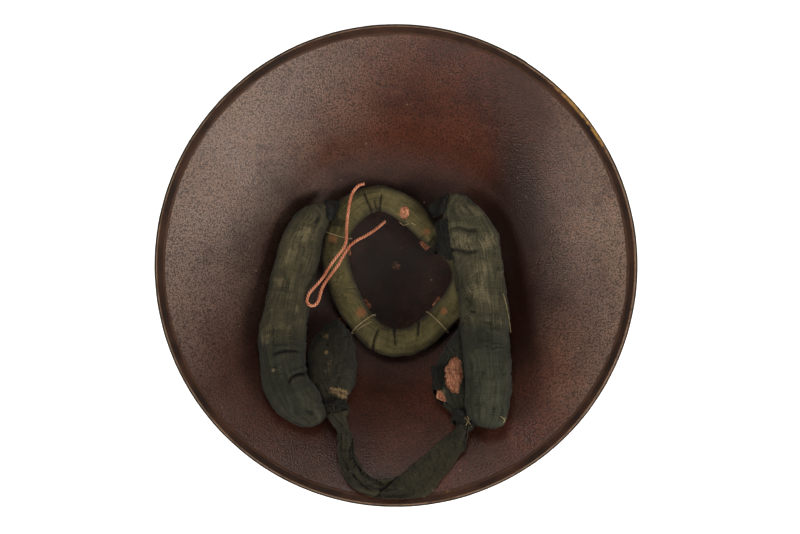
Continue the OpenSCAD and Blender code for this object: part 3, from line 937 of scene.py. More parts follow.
# %% Ring
RING_LEVEL = 48 * MM
RING_TOP = RING_LEVEL + 10 * MM
RING_PLEATS = [
    ([(363, 190), (372.5, 215)], 2.6, 1.2), ([(374, 198), (377.5, 216)], 2.2, 1.1),
    ([(382, 191), (378.5, 215)], 2.6, 1.2), ([(358.5, 205), (367.6, 215)], 1.2, 1.0),
    ([(369, 203), (373, 211)], 1.2, 0.7), ([(386, 197), (382, 210)], 0.9, 1.0),
    ([(394.2, 325), (395.3, 347)], 2.5, 1.2), ([(379, 327), (373.5, 341), (372, 352)], 2.4, 1.2),
    ([(419, 318), (418, 339)], 2.2, 1.1), ([(405, 331), (406, 338)], 0.7, 1.0),
    ([(386, 333), (385, 340)], 0.7, 1.0),
    ([(343.5, 289.5), (350, 288), (357, 288.5)], 1.1, 0.7), ([(336, 262), (343, 262)], 0.6, 1.2),
    ([(420, 240), (428, 232)], 0.9, 1.2), ([(428, 246), (436, 236)], 1.2, 1.0),
]
RING_WEAR = [
    (404, 212, 9, 0.5), (332, 239, 5, 0.9), (361, 313, 6, 0.9), (444, 311, 4, 1.0), (427, 231, 5, 0.8),
    (392, 186, 5, 0.4), (371, 206, 5, 0.4), (352, 300, 8, 0.2),
]
# Dark spots: the first three are grime near the cord, the last three painted shade at the ring's end by the pad.
RING_GRIME_AND_SHADE = [
    (338, 222, 7, 0.8), (331, 244, 6, 0.6), (345, 201, 5, 0.4), (434, 240, 8, 1.2), (431, 226, 4, 0.6),
    (439, 251, 7, 1.2),
]
RING_TUBE = 13 * MM
RING_CLOTH = 0.9 * MM
RING_HOLE = (404.5, 211.8)
RING_HOLE_HALF = (5.0, 8.0)
RING_PULLS = [((447, 268), (6, 0, 0), 15), ((440, 212), (-3, -3, 0), 11), ((345, 205), (-2, 1, 0), 12)]
ring_skin = skins["ring_skin"]


def ring_shape(points):
    """The ring's skin or filling after its pulls."""
    return above_lining(pulled(points, RING_PULLS, RING_LEVEL))


def ring_folds(run, turn):
    """Small cross wrinkles, mostly square to the tube, as on any cloth tube that is bent round."""
    return wrinkles(run, turn, RING_TUBE, 150, 42, way=math.pi / 2, spread=0.4, length=8, width=0.9, height=0.3)


finish_skin(ring_skin, lines["ring_skin"], RING_TUBE, RING_PLEATS, ring_folds, ring_shape, lumps=0.45, seed=41,
            height=RING_LEVEL, wear=RING_WEAR, grime=RING_GRIME_AND_SHADE)


def cut_hole(piece, inside, thickness):
    """Deletes the faces whose middles a test says are inside, and gives the cloth that is left its thickness."""
    work = bmesh.new()
    work.from_mesh(piece.data)
    middles = np.array([f.calc_center_median() for f in work.faces])
    ups = np.array([f.normal.z for f in work.faces])
    gone = np.flatnonzero(inside(middles) & (ups > 0.05))
    work.faces.ensure_lookup_table()
    bmesh.ops.delete(work, geom=[work.faces[i] for i in gone], context="FACES")
    work.to_mesh(piece.data)
    work.free()
    return walled(piece, thickness, -1)


def ring_hole(middles):
    """An ellipse with a ragged edge."""
    place = from_photo(RING_HOLE, RING_TOP)
    q = (middles[:, :2] - place) / (np.array(RING_HOLE_HALF) * PIXEL_AT_RIM)
    return np.linalg.norm(q, axis=1) < 1 + 0.16 * ripple(middles, 3 * MM, 77)


cut_hole(ring_skin, ring_hole, RING_CLOTH)
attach(ring_skin, "hat")
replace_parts(ring_skin, "ring_cover")
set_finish(ring_skin, "ring_cloth")
filling("ring_filling", ["ring_stuffing"], "hat", [(*RING_HOLE, 7, 4.4)], RING_TOP, ring_shape)

# %% [markdown]
# ## The long pads
# Each long pad is sewn from a worn upper section and a darker lower one. The seam draws the cloth in all round.
# The lower section turns with its strap when the hat is worn.

# %% Long pads
PAD_LEVEL = 84 * MM
PAD_TUBE = 19 * MM
LEFT_CREASES = [
    ([(275, 353), (282.7, 349.5), (293, 349), (303, 350.5)], 2.6, 1.5),
    ([(291, 380), (294.5, 374.5), (302, 371.5), (309, 373), (313, 379)], 3.5, 1.4),
    ([(305, 386), (314, 392), (320, 402)], 1.0, 2.0), ([(268, 330), (280, 328), (292, 331)], 0.8, 2.2),
    ([(296, 214), (304, 222), (312, 226)], 0.7, 1.6), ([(318, 214), (314, 228), (308, 240)], 0.8, 1.8),
    ([(283, 240), (280, 262), (278, 280)], 0.5, 2.4), ([(304, 250), (300, 275), (299, 300)], 0.6, 2.2),
    ([(286, 300), (296, 296)], 0.6, 2.2), ([(300, 366), (310, 362)], 0.8, 1.5),
    ([(308, 404), (316, 412)], 0.9, 1.5),
]
LEFT_WEAR = [
    (306, 234, 13, 0.55), (280, 282, 12, 0.55), (297, 310, 7, 0.5), (302, 322, 5, 0.45), (266, 338, 7, 0.5),
    (291, 252, 12, 0.35), (283, 262, 8, 0.3), (276, 368, 1.8, 1.4), (312, 215, 8, 0.3), (271, 306, 7, 0.3),
]
RIGHT_CREASES = [
    ([(447, 229), (458, 227), (470, 230), (480, 229)], 1.9, 2.2),
    ([(446, 252), (456, 250), (468, 252), (480, 250)], 2.1, 2.0),
    ([(449, 194), (443, 207), (438, 221)], 1.6, 1.0), ([(452, 262), (464, 260)], 0.8, 1.8),
    ([(470, 311), (476, 312)], 2.0, 1.3), ([(466, 296), (474, 308)], 0.7, 1.6),
    ([(480, 318), (492, 324)], 0.7, 1.5),
    ([(452, 408), (460, 414), (466, 421)], 1.4, 1.5), ([(478, 428), (472, 421)], 1.2, 1.5),
    ([(461, 300), (461, 330)], 0.5, 2.0), ([(488, 205), (494, 218)], 0.6, 2.0),
    ([(443, 258), (450, 262), (456, 272)], 1.3, 1.4), ([(441, 226), (447, 236), (446, 248)], 1.2, 1.2),
    ([(470, 262), (472, 285), (470, 305)], 0.6, 2.0), ([(494, 250), (500, 275), (502, 300)], 0.6, 1.8),
]
LEFT_PULLS = [
    ((322, 212), (3, 7, -2), 12), ((327, 208), (4, 1, -2), 11), ((312, 390), (6, 1, 0), 10),
    ((318, 414), (5, -1, 0), 12), ((262, 330), (-1, 0, 0), 20),
]
RIGHT_PULLS = [
    ((446, 229), (-10, 0, 0), 15), ((449, 197), (-5, 5, -3), 9), ((512, 275), (-2, 0, 0), 22),
    ((457, 406), (-6, -1, 0), 13), ((498, 420), (3, -2, 0), 11), ((500, 232), (2, 0, 0), 12),
]
OVER_RING = 50 * MM
RIGHT_WEAR = [
    (462, 241, 15, 0.5), (490, 240, 12, 0.5), (482, 268, 14, 0.45), (476, 292, 12, 0.5), (492, 300, 12, 0.35),
    (470, 318, 12, 0.4), (500, 322, 7, 0.4), (468, 206, 12, 0.35), (484, 210, 10, 0.5), (503, 416, 3, 0.9),
    (478, 350, 16, 0.2),
]
SEAM_Y = {side: (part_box(side + "_long_pad_upper")[0].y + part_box(side + "_long_pad_lower")[1].y) / 2
          for side in ("left", "right")}
SEAM_FADE = 9 * MM


def seam_and_ends(line, seam_y, seed):
    """The move along the normal of a long pad: it is drawn in at the seam, with small puckers round it, and
    gathered at both ends, where it is sewn up or tied. Each is a bell curve along the tube times a wave round
    it. Wrinkles run along it and a few across."""
    run = run_of(line)
    seam_run = float(np.interp(-seam_y, -line[:, 1], run))

    def move(s, turn):
        from_seam = (s - seam_run) / MM
        drawn = -0.9 * np.exp(-(from_seam / 1.3) ** 2) + 0.35 * np.exp(-((np.abs(from_seam) - 4.5) / 3) ** 2)
        pucker = 0.22 * np.cos(turn * 17 + 1.5 * np.sin(turn * 3)) * np.exp(-(from_seam / 5) ** 2)
        to_end = (run[-1] - s) / MM
        gather = 0.7 * np.cos(turn * 11 + 2 * np.sin(turn * 2)) * np.exp(-(to_end / 16) ** 2)
        start = 0.5 * np.cos(turn * 9 + 2 * np.sin(turn * 2 + 1)) * np.exp(-(s / MM / 12) ** 2)
        down = wrinkles(s, turn, PAD_TUBE, 90, seed, way=0.1, spread=0.35, length=17, width=1.5, height=0.4)
        across = wrinkles(s, turn, PAD_TUBE, 60, seed + 1, way=1.3, spread=0.5, length=10, width=1.4, height=0.45)
        return (drawn + pucker + gather + start) * MM + down + across

    return move


for side, creases, wear, pulls, seed in [
        ("left", LEFT_CREASES, LEFT_WEAR, LEFT_PULLS, 51), ("right", RIGHT_CREASES, RIGHT_WEAR, RIGHT_PULLS, 61)]:
    pad, line = skins[side + "_long_pad"], lines[side + "_long_pad"]
    finish_skin(pad, line, PAD_TUBE, creases, seam_and_ends(line, SEAM_Y[side], seed + 2),
                lambda p: pulled(p, pulls, PAD_LEVEL, OVER_RING), lumps=0.8, seed=seed, height=PAD_LEVEL, wear=wear)
    mark(pad, "lower", np.clip((SEAM_Y[side] - points_in(pad.data)[:, 1]) / SEAM_FADE + 0.5, 0, 1))
    fibre = filling(side + "_long_filling", [side + "_long_stuffing_upper", side + "_long_stuffing_lower"])
    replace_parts(pad, side + "_long_pad_upper", side + "_long_pad_lower")
    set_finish(pad, "worn_weave")
    for piece in (pad, fibre):
        side + "_strap"
        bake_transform(piece)
    print(side, "long pad", len(pad.data.polygons), "faces")

# %% [markdown]
# ## The short pads
# The short pads hang from the ring's lower bend and end in a neck at the tie. The right one is torn: two
# ragged openings show the rust-brown fibre. The cloth there is cut away inside two outlines, and a ripple makes
# their edges ragged.

# %% Short pads
SHORT_LEVEL = 76 * MM
SHORT_TUBE = 14 * MM
SHORT_CLOTH = 0.8 * MM
LEFT_SHORT_CREASES = [
    ([(333, 388), (338, 378), (343, 374)], 1.0, 1.6), ([(322, 384), (330, 388), (345, 392), (350, 398)], 1.3, 1.2),
    ([(322, 340), (330, 350), (336, 362)], 0.7, 1.6), ([(318, 330), (326, 336)], 0.7, 1.5),
    ([(345, 340), (352, 352)], 0.7, 1.8), ([(327, 396), (330, 404)], 1.2, 1.0),
    ([(336, 396), (337, 405)], 1.2, 1.0), ([(344, 396), (343, 405)], 1.2, 1.0),
]
LEFT_SHORT_WEAR = [
    (326, 353, 1.8, 1.2), (330, 345, 6, 0.35), (322, 333, 5, 0.4), (327, 337, 4, 0.35), (331, 362, 7, 0.4),
    (340, 391, 6, 0.6), (332, 389, 5, 0.5), (326, 371, 4, 0.4), (345, 394, 4, 0.8),
]
RIGHT_SHORT_CREASES = [
    ([(431, 366), (438, 364), (444, 366)], 1.2, 0.9), ([(436, 340), (444, 332), (452, 330)], 0.8, 1.5),
    ([(444, 400), (452, 408), (460, 414)], 1.3, 1.5), ([(446, 345), (450, 353)], 0.9, 1.2),
]
RIGHT_SHORT_WEAR = [
    (434, 365, 4, 0.5), (441, 366, 3, 0.5), (447, 396, 5, 0.4), (440, 350, 8, 0.2), (443, 390, 3, 0.8),
]
TEARS = [
    [(456.5, 355), (462, 361), (463, 376), (458, 392), (450, 391), (444, 382), (445, 367), (450.4, 358)],
    [(430, 388.5), (441, 389), (446, 398), (441, 408), (435, 404)],
]


def inside_outline(places, corners):
    """Whether places on the plan lie inside an outline: a ray from each crosses its sides an odd number of
    times."""
    x, y = places[:, 0, None], places[:, 1, None]
    x0, y0 = corners[None, :, 0], corners[None, :, 1]
    x1, y1 = np.roll(x0, -1, 1), np.roll(y0, -1, 1)
    crosses = (y0 > y) != (y1 > y)
    at = x0 + (y - y0) / np.where(y1 == y0, 1e-9, y1 - y0) * (x1 - x0)
    return (crosses & (x < at)).sum(1) % 2 == 1


def torn(middles):
    """The two tears, with ragged edges."""
    rag = np.stack([ripple(middles, 4 * MM, 81), ripple(middles, 4 * MM, 82)], -1) * 0.8 * MM
    return np.any([inside_outline(middles[:, :2] + rag, from_photo(t, SHORT_LEVEL)) for t in TEARS], 0)


def neck_gathers(line, seed):
    """Cloth gathered into the neck: ridges round the tube that fade with the way from the tie, and a waist
    before it. Wrinkles run down the body and a few across."""
    end = run_of(line)[-1]

    def move(s, turn):
        to_end = (end - s) / MM
        deep = np.exp(-((to_end - 10) / 14) ** 2)
        gathers = 0.7 * np.cos(turn * 11 + 2.2 * np.sin(turn * 2 + 0.4)) + 0.3 * np.cos(turn * 23 + 1)
        waist = -0.4 * np.exp(-((to_end - 14) / 4.5) ** 2)
        down = wrinkles(s, turn, SHORT_TUBE, 80, seed, way=0.15, spread=0.4, length=15, width=1.3, height=0.45)
        across = wrinkles(s, turn, SHORT_TUBE, 40, seed + 1, way=1.2, spread=0.5, length=9, width=1.2, height=0.4)
        return (gathers * deep + waist) * MM + down + across

    return move


NECK = [(0, 8, 0.45)]
LEFT_SHORT_PULLS = [((316, 354), (-6, 0, 0), 16), ((322, 380), (-5, 0, 0), 12)]
RIGHT_SHORT_PULLS = [((438, 395), (-3, 0, 0), 10)]
RIGHT_BULGES = [(454, 374, 13, 3.4), (438, 397, 7, 3.0)]
short_fillings = {}
for side, creases, wear, pulls, bulges, seed in [
        ("left", LEFT_SHORT_CREASES, LEFT_SHORT_WEAR, LEFT_SHORT_PULLS, [], 71),
        ("right", RIGHT_SHORT_CREASES, RIGHT_SHORT_WEAR, RIGHT_SHORT_PULLS, RIGHT_BULGES, 76)]:
    pad, line = skins[side + "_short_pad_cloth"], lines[side + "_short_pad_cloth"]

    def short_shape(p):
        """The short pad's skin or filling, drawn in at its neck and pulled."""
        return pulled(narrowed(p, line, NECK), pulls, SHORT_LEVEL)

    finish_skin(pad, line, SHORT_TUBE, creases, neck_gathers(line, seed + 2), short_shape, lumps=0.7, seed=seed,
                height=SHORT_LEVEL, wear=wear)
    if side == "right":
        cut_hole(pad, torn, SHORT_CLOTH)
    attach(pad, side + "_strap")
    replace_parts(pad, side + "_short_pad")
    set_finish(pad, "torn_cloth" if side == "right" else "dark_cloth")
    short_fillings[side] = filling(side + "_short_filling", [side + "_short_stuffing"], side + "_strap", bulges,
                                   SHORT_LEVEL, short_shape)

# %% [markdown]
# ## Lashings and thread ties
# A lashing is a cord wound round what it ties. Its CAD solid gives the winding's middle, its axis, which is the
# direction in which its points spread least, and the two half sizes across it. The cord is laid from two
# plies, as the long cord is.

# %% Lashings and ties
def winding_path(middle, ways, half, thickness, turns, spread, steps=44, wander=0.0, seed=0):
    """A helix on an ellipse: the angle goes round turns times while the place along the axis goes from one side
    to the other. A wander moves neighbouring turns a little."""
    turn = np.linspace(0, 2 * math.pi * turns, int(steps * turns))
    a, b = half[0] - thickness / 2, half[1] - thickness / 2
    along = (np.linspace(-1, 1, len(turn)) * spread)[:, None] * ways[2]
    path = middle + np.cos(turn)[:, None] * a * ways[0] + np.sin(turn)[:, None] * b * ways[1] + along
    return path + wander * ways[2] * np.sin(turn * 1.7 + seed)[:, None]


LASH_HUG = np.array([0.95, 0.95, 1.0])
LASH_GATHER = 0.75
LASH_LAY = 2.6
LOOP_WIDE = 2.1 * MM
LOOP_HIGH = 1.7 * MM
LOOP_APART = 1.2 * MM


def lashing(name, node, body, turns, thickness, wander):
    """The wound cord, with a small knot of two crossed loops on top."""
    middle, ways, half = longest_way(points_of(node))
    spread = (half[2] - thickness / 2) * LASH_GATHER
    paths = [winding_path(middle, ways, half * LASH_HUG, thickness, turns, spread, wander=wander, seed=len(name))]
    top = middle + ways[1] * (half[1] * (1 if ways[1][2] > 0 else -1))
    turn = np.linspace(0, 2 * math.pi, 30)[:, None]
    for beside, second_way in [(-0.5, np.array([0, 0, 1])), (0.5, ways[2])]:
        loop = top + np.cos(turn) * ways[0] * LOOP_WIDE + np.sin(turn) * second_way * LOOP_HIGH
        paths.append(loop + ways[2] * beside * LOOP_APART)
    piece = laid_cord(name, paths, thickness, thickness * LASH_LAY, ups=[ways[2], (0.3, 0.5, 1), (0.3, 0.5, 1)])
    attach(piece, body)
    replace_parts(piece, node)
    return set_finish(piece, "dark_thread")


LASH = 2.4 * MM
left_lash = lashing("left_tie", "left_tie_lashing", "left_strap", 3, LASH, 0.3 * MM)
right_lash = lashing("right_tie", "right_tie_lashing", "right_strap", 3, LASH, 0.3 * MM)
corner_lash = lashing("corner_tie", "corner_lashing", "hat", 3, LASH, 0.4 * MM)
THREAD = 1.0 * MM
THREAD_LAY = 2.6 * MM
TIE_PIXELS = [(337, 233), (362, 325), (438, 325)]
tie_points = points_of("thread_ties")
tie_places = from_photo(TIE_PIXELS, RING_LEVEL)
nearest_tie = np.linalg.norm(tie_points[:, None, :2] - tie_places[None], axis=-1).argmin(1)
tie_paths, tie_ups = [], []
for k in range(len(TIE_PIXELS)):
    middle, ways, half = longest_way(tie_points[nearest_tie == k])
    tie_paths.append(winding_path(middle, ways, half, THREAD, 1, 0.2 * MM, steps=160))
    tie_ups.append(ways[2])
threads = laid_cord("pale_ties", tie_paths, THREAD, THREAD_LAY, around=6, ups=tie_ups)
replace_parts(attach(threads, "hat"), "thread_ties")
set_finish(threads, "pale_thread")

# %% [markdown]
# ## The chin ribbon
# The ribbon is one band of cloth. On the right it lies flat, and on the left it is folded in three along its
# length and squeezed, so the same cloth fits in half the width. It is a sheet: a grid whose long side follows a
# route over the lining, and whose short side is carried over, back and over again where it is folded.

# %% The ribbon's surface
STRIP_THICK = 0.7 * MM
STRIP_ACROSS = 61
STRIP_STEPS = 16
FOLD_LAYER = 1.5 * MM
RIBBON_LEVEL = 100 * MM


def folded(a, share, layer):
    """The section of a strip folded in three. a goes from -1 to 1 over the cloth. Flat, the place across is a.
    Folded, it swings from side to side between four turning points, each swing a cosine, while the height steps
    up by one layer at each turn. share blends the two."""
    turns = np.array([-1, -0.24, 0.22, 1.0])
    across = np.array([-1, 0.92, -0.52, 1.0])
    k = np.clip(np.searchsorted(turns, a, side="right") - 1, 0, 2)
    u = (a - turns[k]) / (turns[k + 1] - turns[k])
    swing = across[k] + (across[k + 1] - across[k]) * (1 - np.cos(math.pi * u)) / 2
    steps = 1 / (1 + np.exp(-(a + 0.24) / 0.05)) + 1 / (1 + np.exp(-(a - 0.22) / 0.05))
    return a * (1 - share) + swing * share, steps * layer * share


def cloth_strip(name, rows, width, crumple, seed, wear, creases):
    """rows hold a place on the plan, a height over the lining, half the band's width, the share of folding and
    its twist. The strip follows the smooth curve through them. Ripples crumple it, most of them ridges that run
    along it, and creases dent it."""
    rows = smoothed(rows, STRIP_STEPS)
    r = np.hypot(rows[:, 0], rows[:, 1])
    middle = np.stack([rows[:, 0], rows[:, 1], bowl_height(r, WALL) + rows[:, 2]], -1)
    ahead = unit(np.gradient(middle, axis=0))
    inward = np.stack([-rows[:, 0], -rows[:, 1], r * 2.2], -1)
    above = unit(inward - ahead * (inward * ahead).sum(-1, keepdims=True))
    aside = np.cross(ahead, above)
    twist = rows[:, 5:6]
    aside, above = aside * np.cos(twist) + above * np.sin(twist), above * np.cos(twist) - aside * np.sin(twist)
    run = run_of(middle)
    a = np.linspace(-1, 1, STRIP_ACROSS)
    wander = 0.10 * np.sin(run / (9 * MM) + seed)[:, None] * (1 - a ** 2)
    x, z = folded(np.clip(a[None, :] + wander, -1, 1), rows[:, 4:5], FOLD_LAYER)
    cloth = np.stack([np.broadcast_to(run[:, None], x.shape), np.broadcast_to(a * width / 2, x.shape)], -1)
    on_cloth = np.concatenate([cloth, 0 * cloth[..., :1]], -1).reshape(-1, 3)
    ridges = ripple(on_cloth * [0.16, 1, 1], 3.6 * MM, 90 + seed).reshape(x.shape)
    cross = ripple(on_cloth * [1, 0.5, 1], 7 * MM, 95 + seed).reshape(x.shape)
    lift = crumple * (0.85 * ridges + 0.25 * cross) * (0.12 + rows[:, 4:5]) + 0.25 * MM * cross
    points = middle[:, None] + aside[:, None] * (x * rows[:, 3:4])[..., None]
    points = points + above[:, None] * (z - FOLD_LAYER * rows[:, 4:5] + lift)[..., None]
    points = points.reshape(-1, 3)
    dips = crease_depth(points, np.ones_like(points), creases, RIBBON_LEVEL)
    points[:, 2] -= dips
    points = above_lining(points)
    points[:, 2] += STRIP_THICK / 2
    piece = new_piece(name, points, grid_faces(len(rows), STRIP_ACROSS, wrap_columns=False))
    set_map(piece, cloth.reshape(-1, 2)[corners_in(piece.data)][:, ::-1])
    mark(piece, "wear", spots(points, wear, RIBBON_LEVEL))
    # Painted shade in the crease dips and the crumple's troughs, as under the flat end's edge.
    mark(piece, "folds", np.clip((dips * 1.5 - lift.ravel() * 1.3) / MM, 0, 1))
    length = float(run[-1])
    wide = area_in(piece.data) / length
    print(name, round(length / MM), "mm long,", round(wide / MM, 1), "mm of cloth wide")
    return walled(piece, STRIP_THICK, 0), length, wide


# %% Chin ribbon
RIBBON_WIDE = 27 * MM
RIBBON_ROWS = np.array([
    (-49, -123, 22.5, 9.6, 0.55, 0), (-47.3, -128.5, 19.5, 8.2, 0.7, 0.1), (-44.6, -135, 14, 7.2, 0.9, 0.3),
    (-42.8, -141, 9.5, 7.0, 1, 0.4), (-42, -148, 6.4, 7.3, 1, 0.3), (-41, -158.4, 4.8, 7.9, 1, 0.1),
    (-36.2, -169.8, 4.4, 8.3, 1, -0.15), (-30.6, -177.6, 4.0, 8.4, 1, -0.1), (-21.1, -183.6, 3.4, 7.8, 0.95, 0),
    (-9.7, -184.6, 3.0, 8.0, 0.6, 0), (6.3, -183, 2.0, 10, 0.12, 0), (18.8, -178.5, 1.8, 12.7, 0, 0),
    (30.3, -168.5, 2.0, 12.4, 0, 0), (40.5, -157.4, 3.5, 11.3, 0, 0), (48.2, -149.2, 7.5, 9.6, 0.05, 0),
    (53, -142.4, 12, 7.6, 0.3, 0), (56, -136, 17.5, 5.2, 0.7, 0), (57.6, -130.8, 22, 3.6, 1, 0),
    (58.5, -127, 24, 3.2, 1, 0),
]) * [MM, MM, MM, MM, 1, 1]
RIBBON_CREASES = [
    ([(346, 418), (350, 430), (352, 441), (350, 452), (356, 464.5), (366.5, 473.5), (374, 478), (386.5, 484.5)],
     3.4, 1.2),
    ([(341, 424), (341, 438), (342, 452), (347, 465), (356, 477), (366, 486)], 1.8, 1.3),
    ([(376, 495), (384, 487.5), (392, 481.5), (401, 474.5), (412, 465)], 2.4, 1.6),
    ([(366, 482), (374, 485), (383, 489)], 2.0, 1.0), ([(345, 428), (346, 440), (345.5, 450)], 1.2, 0.9),
]
RIBBON_WEAR = [(338, 424, 9, 0.2), (341, 440, 7, 0.2)]
ribbon, ribbon_long, ribbon_wide = cloth_strip("folded_ribbon", RIBBON_ROWS, RIBBON_WIDE, crumple=2.3 * MM, seed=1,
                                               wear=RIBBON_WEAR, creases=RIBBON_CREASES)
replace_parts(ribbon, "chin_ribbon")
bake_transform(ribbon)
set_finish(ribbon, "ribbon_cloth")

# %% [markdown]
# ## Loose ends of cloth and stitches
# Where the covers end, dark rags of their cloth lie over the ring and the pads, and stitches hold them. The
# ribbon's flat part ends in a pointed fold over its crumpled part, which is one more such sheet. All are dropped
# on what carries them: the points of the surfaces below give the height at each place, and the rag or the thread
# lies just over it, but follows a gap no further down than a set drop. Smoothing then lets a rag span the small
# hollows, as cloth does.

# %% Rags and stitches
REACH = 1.3 * MM
RAG_DROP = 10 * MM
THREAD_DROP = 5 * MM
RAG_STEPS = 10
RAG_ACROSS = 33
RAG_CELL = 0.5 * MM
RAG_CLEAR = 0.6 * MM
SPAN_ROUNDS = 14
UPWARD = 0.2
STITCH_LAY = 2.4 * MM


def tops(plan, carriers):
    """The height of some pieces under places on the plan: the highest tangent plane of their upward points that
    are within REACH of the place on the plan, or the lining."""
    flat = plan.reshape(-1, 2)
    points = np.vstack([points_in(c.data) for c in carriers])
    normals = np.vstack([normals_in(c.data) for c in carriers])
    inside = (points[:, :2] > flat.min(0) - REACH).all(1) & (points[:, :2] < flat.max(0) + REACH).all(1)
    near = inside & (normals[:, 2] > UPWARD)
    points, normals = points[near], normals[near]
    slope = -normals[:, :2] / normals[:, 2:]
    step = flat[:, None] - points[None, :, :2]
    height = points[:, 2] + (step * slope).sum(-1)
    height = np.where((step ** 2).sum(-1) < REACH ** 2, height, -1).max(1, initial=-1)
    height = np.maximum(height, bowl_height(np.hypot(flat[:, 0], flat[:, 1]), WALL))
    return height.reshape(plan.shape[:-1])


def rag(name, edges, body, carriers, level, seed, crumple=0.9, slot="dark_cloth", drop=RAG_DROP):
    """A torn piece of cloth. edges holds the pixels (left x, y, right x, y) of its rows. It lies on the highest
    surface under it, smoothed over its grid, and ripples crumple it and make its edges ragged. Without a body of
    its own its place is baked into its mesh."""
    edges = smoothed(edges, RAG_STEPS)
    left, right = from_photo(edges[:, :2], level), from_photo(edges[:, 2:], level)
    a = np.linspace(0, 1, RAG_ACROSS)[None, :, None]
    plan = left[:, None] * (1 - a) + right[:, None] * a
    flat3 = np.concatenate([plan, 0 * plan[..., :1]], -1).reshape(-1, 3)
    rag_edge = np.stack([ripple(flat3, 4 * MM, seed), ripple(flat3, 4 * MM, seed + 1)], -1).reshape(plan.shape)
    plan = plan + rag_edge * 0.7 * MM
    ground = tops(plan, carriers)
    ground = np.maximum(ground, ground.max() - drop)
    height = ground.copy()
    for _ in range(SPAN_ROUNDS):
        around = np.pad(height, 1, mode="edge")
        mean = (around[2:, 1:-1] + around[:-2, 1:-1] + around[1:-1, 2:] + around[1:-1, :-2]) / 4
        height = np.maximum(mean, ground)
    folds = ripple(flat3 * [1.4, 0.6, 1], 5 * MM, seed + 2).reshape(height.shape)
    height = height + RAG_CLEAR + crumple * MM * (folds * 0.5 + 0.5)
    grid = np.concatenate([plan, height[..., None]], -1)
    rows, columns = height.shape
    piece = new_piece(name, grid, grid_faces(rows, columns, wrap_columns=False))
    cloth = np.stack(np.meshgrid(np.arange(columns) * RAG_CELL, np.arange(rows) * RAG_CELL), -1).reshape(-1, 2)
    set_map(piece, cloth[corners_in(piece.data)])
    mark(piece, "wear", np.clip(folds.ravel() - 0.3, 0, 1) * 0.5)
    # Painted shade in the crumple's troughs.
    mark(piece, "folds", np.clip(-folds.ravel(), 0, 1))
    area = area_in(piece.data)
    walled(piece, STRIP_THICK, 0)
    if body:
        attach(piece, body)
    else:
        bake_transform(piece)
    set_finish(piece, slot)
    return piece


def stitches(name, runs, carriers, level, thickness=0.8 * MM):
    """Thin threads that lie on some pieces. Each run is a list of pixels (x, y) or (x, y, mm over the surface)."""
    paths = []
    for line in runs:
        line = smoothed([(*place, 0.0)[:3] for place in line], 6)
        plan = from_photo(line[:, :2], level)
        ground = tops(plan, carriers)
        ground = np.maximum(ground, ground.max() - THREAD_DROP)
        paths.append(np.column_stack([plan, ground + thickness * 0.35 + line[:, 2] * MM]))
    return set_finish(laid_cord(name, paths, thickness, STITCH_LAY, around=6), "pale_thread")


left_pad, right_pad = skins["left_long_pad"], skins["right_long_pad"]
torn_pad = skins["right_short_pad_cloth"]
rags = [
    rag("rag_right_top", [
        (428, 207, 449, 190.5), (430, 211, 449, 197), (433, 214, 447, 204), (436, 217, 443, 214),
    ], "hat", [ring_skin, right_pad], 62 * MM, 201),
    rag("rag_left_top", [
        (324, 199, 340, 200.5), (325, 205, 339, 206), (326, 212, 336, 214), (327, 220, 333, 221),
    ], "hat", [ring_skin, left_pad], 66 * MM, 211, crumple=0.5),
    rag("rag_between_tears", [
        (431, 365.5, 441, 364.5), (431.5, 374, 442, 375), (432, 382, 442, 383), (433, 388, 441, 389),
    ], "right_strap", [torn_pad, short_fillings["right"]], SHORT_LEVEL, 221, crumple=0.7),
    rag("rag_ring_corner", [
        (434, 222, 447, 218), (436, 232, 448, 230), (437, 243, 449, 242), (441, 252, 451, 252),
        (446, 260, 453, 260),
    ], "hat", [ring_skin, corner_lash, right_pad], 60 * MM, 241, crumple=0.8),
    rag("rag_right_neck", [
        (452, 406, 470, 411), (452, 414, 474, 418), (456, 421, 478, 425),
    ], "right_strap", [torn_pad, right_lash], 90 * MM, 231, crumple=0.8),
]
top_rag, neck_rag = rags[0], rags[-1]
ribbon_end = rag("ribbon_flat_end", [
    (462.5, 424.5, 466, 425), (452, 433.5, 465.5, 440), (440, 443.5, 465, 450.5), (431, 451, 454, 457.5),
    (422, 458, 449, 466), (412, 466, 443, 477), (402, 474.5, 436, 487), (392, 483, 428, 495.5),
    (385, 489, 408, 497.5), (380.4, 492.6, 382, 497.2),
], None, [ribbon], 112 * MM, 251, crumple=0.15, slot="ribbon_cloth", drop=60 * MM)
hat_stitches = stitches("stitches_on_ring", [
    [(399.5, 221.5), (404, 224.5), (409, 223)], [(412, 222.5), (415.5, 224.5)],
    [(434.6, 213, 0.4), (435.6, 215.2, 1.2), (434, 216.2, 0.4)], [(356, 330.7), (363, 326.2), (371.4, 322)],
], [ring_skin, right_pad, top_rag], RING_LEVEL + 8 * MM)
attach(hat_stitches, "hat")
pad_stitches = stitches("stitches_on_right_pad", [
    [(504.6, 294), (507.3, 304), (509.2, 315), (511.2, 326), (512.2, 333)],
    [(498.5, 413.5), (502.6, 416.5, 0.8), (501.6, 420)], [(464, 416, 0.5), (467.5, 419.5, 1), (471, 425, 0.5)],
    [(465.5, 423.5, 0.5), (468, 417, 1), (466, 414.5, 0.5)],
], [right_pad, torn_pad, neck_rag, ribbon], 96 * MM, 0.7 * MM)
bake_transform(pad_stitches)

# %% [markdown]
# ## Finishes
# A finish is a node tree. The class below wraps one output socket, so that a sum or product in Python adds the
# Math nodes for it, and one method adds every other kind of node. Patterns read the object's own coordinates,
# or the cloth's UV map where a weave has to follow the tube.

